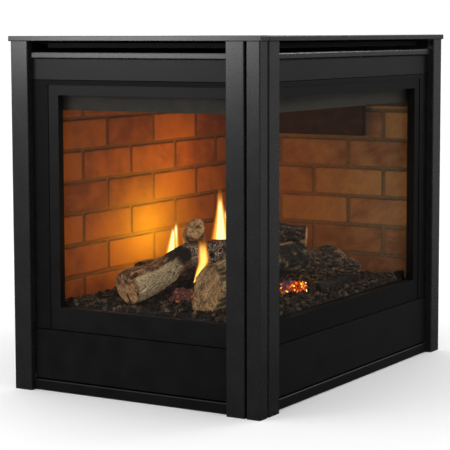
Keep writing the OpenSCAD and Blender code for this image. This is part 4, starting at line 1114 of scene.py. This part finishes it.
def flame(name, route, widths, skins=FLAME_SKINS):
    """A tongue along a route of points (mm), with its width at each, in shells of the skins."""
    route = np.array(route, float)
    knots = np.linspace(0, 1, len(route))
    t = np.linspace(0, 1, FLAME_ROWS)
    path = smoothed(np.column_stack([np.interp(t, knots, route[:, k]) for k in range(3)]), 6)
    width = smoothed(np.interp(t, knots, widths), 3)
    q = np.arange(FLAME_SIDES) * 2 * math.pi / FLAME_SIDES
    heading = math.radians(FLAME_HEADING)
    broad = unit(np.array([math.cos(heading), math.sin(heading), 0]))
    deep = np.array([-broad[1], broad[0], 0])
    faces = [
        (
            i * FLAME_SIDES + j,
            i * FLAME_SIDES + (j + 1) % FLAME_SIDES,
            (i + 1) * FLAME_SIDES + (j + 1) % FLAME_SIDES,
            (i + 1) * FLAME_SIDES + j,
        )
        for i in range(FLAME_ROWS - 1)
        for j in range(FLAME_SIDES)
    ]
    faces.append(tuple(range(FLAME_SIDES - 1, -1, -1)))
    faces.append(tuple((FLAME_ROWS - 1) * FLAME_SIDES + j for j in range(FLAME_SIDES)))
    for number, (share, solid, skin) in enumerate(skins):
        points, fades = [], []
        # An inner shell ends lower than the skin
        top = 1 - FLAME_NEST * (1 - share)
        for row in range(FLAME_ROWS):
            u = t[row] * top
            here = np.array([np.interp(u, t, path[:, k]) for k in range(3)])
            half = np.interp(u, t, width) * share / 2
            if row == FLAME_ROWS - 1:
                half = FLAME_TIP
            ring = (
                np.outer(np.cos(q), broad) * half
                + np.outer(np.sin(q), deep) * half * FLAME_DEPTH
            )
            points.append(here + ring)
            tip = ease((1 - t[row]) * 3.0)
            base = FLAME_FOOT + (1 - FLAME_FOOT) * ease(t[row] * 6)
            fades += [solid * tip * base] * FLAME_SIDES
        points = np.concatenate(points)
        piece = new_piece(f"{name}_{number}", points, faces, skin, {"fade": fades})
        piece.visible_shadow = False
        piece.visible_diffuse = False


flame(
    "flame_left_low", [(-170, 120, 334), (-164, 120, 356), (-157, 120, 388), (-153, 120, 430)],
    [34, 31, 19, 3],
)
flame(
    "flame_left_high", [(-155, 121, 333), (-149, 121, 360), (-142, 121, 397), (-135, 121, 442)],
    [34, 31, 18, 3],
)
flame("flame_middle", [(2, 60, 366), (2, 60, 388), (0, 60, 440), (-4, 60, 535)], [62, 52, 29, 3])
flame("flame_middle_side", [(36, 62, 366), (33, 62, 400), (26, 62, 465)], [36, 28, 3])
flame(
    "flame_low",
    [(-334, -60, 293), (-309, -60, 320), (-284, -60, 342), (-288, -60, 376), (-293, -60, 420)],
    [3, 18, 33, 28, 22], skins=FLAME_SKINS[:4],
)
for (x, y), wide, high in (((-84, -192), 20, 50), ((-36, -176), 36, 34), ((30, -150), 40, 30)):
    flame(
        f"port_flame_{-x}", [(x, y, BED_TOP + 6), (x + 2, y, BED_TOP + 6 + high)], [wide, 4],
        skins=BLUE_SKINS,
    )


# -------------------------------------------------------------------------------- ember tufts
# Tufts of rock wool over the flame ports that glow red, orange and nearly white where the gas
# burns through them. Behind the front left log they only smoulder. They lie loose on the bed.
TUFT_GRID = 9

# Of each kind: name, colour, strength, width and spacing of the tufts in metres, seed
EMBER_GLOWS = (
    ("red", "#b83408", 0.8, 0.0110, 0.0125, 31),
    ("orange", "#ff7414", 1.3, 0.0085, 0.0150, 32),
    ("yellow", "#ffc030", 2.0, 0.0080, 0.0260, 33),
    ("pale", "#ffe8b0", 2.6, 0.0060, 0.0300, 34),
)
LOW_GLOWS = (
    ("dull_brown", "#64341c", 0.5, 0.0140, 0.0110, 41),
    ("dull_violet", "#544050", 0.5, 0.0120, 0.0150, 42),
    ("dull_orange", "#c8681c", 0.8, 0.0100, 0.0170, 43),
)


def ember_tufts(name, corners, rise, glows):
    """Glowing tufts over a patch of the bed with four corners (x, y), raised in its middle."""
    steps = np.linspace(0, 1, TUFT_GRID)
    u, v = [a.ravel() for a in np.meshgrid(steps, steps)]
    c = np.array(corners, float)
    flat = (
        np.outer((1 - u) * (1 - v), c[0]) + np.outer(u * (1 - v), c[1])
        + np.outer(u * v, c[2]) + np.outer((1 - u) * v, c[3])
    )
    lift = BED_TOP + 2 + rise * np.sin(np.pi * u) * np.sin(np.pi * v)
    spots = np.column_stack([flat, lift])
    spots += 5 * np.column_stack([lumps(spots, 15, 51 + k) for k in range(3)]) * (1, 1, 0.3)
    faces = grid_faces(TUFT_GRID, TUFT_GRID)
    for shade, colour, strength, width, spacing, seed in glows:
        glow = new_material(
            f"glowing_rock_wool_{shade}", Base_Color=linear("#1c100a"), Roughness=0.95,
            Emission_Color=linear(colour), Emission_Strength=strength,
        )[0]
        strew(
            f"{name}_{shade}", spots, faces, glow,
            Stone_width=width, Spacing=spacing, Seed=seed, Keep_ground=False,
        )


ember_tufts("ember_pile", ((-92, -190), (8, -214), (138, -142), (100, -84)), 9, EMBER_GLOWS)
ember_tufts("ember_glow_left", ((-336, 14), (-319, -48), (-140, 66), (-160, 106)), 4, LOW_GLOWS)


# --------------------------------------------------------------------------------- fire light
# What the flames and embers throw on the bricks and the logs: a small warm lamp at each flame,
# paler near the wall and redder at the embers. One dim white lamp inside the long face stands
# for the room's light on the end liner.
FLAME_YELLOW = "#ffcb59"


def fire_light(name, place, watts, radius, colour=FLAME_YELLOW):
    """A round lamp that neither the camera nor gloss sees."""
    lamp = bpy.data.lights.new(name, "POINT")
    lamp.energy = watts
    lamp.shadow_soft_size = radius
    lamp.color = linear(colour)[:3]
    holder = bpy.data.objects.new(name, lamp)
    holder.location = place
    holder.visible_camera = False
    holder.visible_glossy = False
    bpy.context.scene.collection.objects.link(holder)


fire_light("fire_glow_left", (-0.170, 0.120, 0.370), 0.85, 0.04)
fire_light("fire_glow_wall", (-0.035, 0.185, 0.385), 0.9, 0.06, "#fff43c")
fire_light("fire_glow_middle", (0.020, 0.060, 0.450), 2.0, 0.05)
fire_light("fire_glow_right", (0.150, 0.100, 0.360), 0.3, 0.04)
fire_light("fire_glow_high", (0.130, 0.170, 0.600), 0.5, 0.05)
fire_light("room_light_on_liner", (0.330, -0.250, 0.410), 0.09, 0.05, "#fff6e6")
fire_light("fire_glow_embers", (0.020, -0.170, 0.290), 0.1, 0.03, "#ff8a3c")


# --------------------------------------------------------------- vent collars and small parts
# Two spun collars on the closed end, the flue and round it the air intake, and the pilot, the
# mixing tube, brackets, latches and screws: steel plated with zinc, bright and a little cloudy.
bright_steel = coat(
    "zinc_plated_steel", ("#8f8f92", "#a9a9ac"), 14, 2.0, (0.28, 0.42), 0.03, metallic=1.0
)
dress(
    bright_steel, "flue_collar", "intake_collar", "pilot_assembly", "mixing_tube",
    "latch_brackets", "hinge_brackets", "wrap_screws", "latch_end_left", "latch_end_right",
    "latch_front_left", "latch_front_right", "valve_spindle",
)


# --------------------------------------------------------------------------------- gas train
# A die-cast valve body with a dull grey skin, a drawn brass pipe and air shutter, smooth and
# warm, and a quarter-turn cock whose lever is dipped in glossy red enamel.
cast_metal = coat(
    "die_cast_aluminium", ("#85868a", "#9b9ca0"), 12, 1.5, (0.45, 0.58), 0.15, metallic=1.0
)
dress(cast_metal, "gas_valve")
brass = coat("drawn_brass", ("#9a7430", "#b98f44"), 18, 1.5, (0.28, 0.4), 0.03, metallic=1.0)
dress(brass, "gas_pipe", "air_shutter")
red_enamel = coat("red_dipped_enamel", ("#8e1a12", "#a82418"), 10, 2.0, (0.25, 0.35), 0.03)
dress(red_enamel, "shutoff_cock")


# ---------------------------------------------------------------------------------- controls
# Two knobs and a rocker moulded in black phenolic, matt with a faint grain, and an igniter
# button moulded in red plastic, which is smoother.
phenolic = coat("moulded_black_phenolic", ("#141414", "#1c1c1c"), 8, 1.0, (0.5, 0.6), 0.08)
dress(phenolic, "control_knob", "flame_knob", "rocker_switch")
red_plastic = coat("red_moulded_plastic", ("#a01c14", "#b4261c"), 8, 1.0, (0.3, 0.4), 0.03)
dress(red_plastic, "igniter_button")
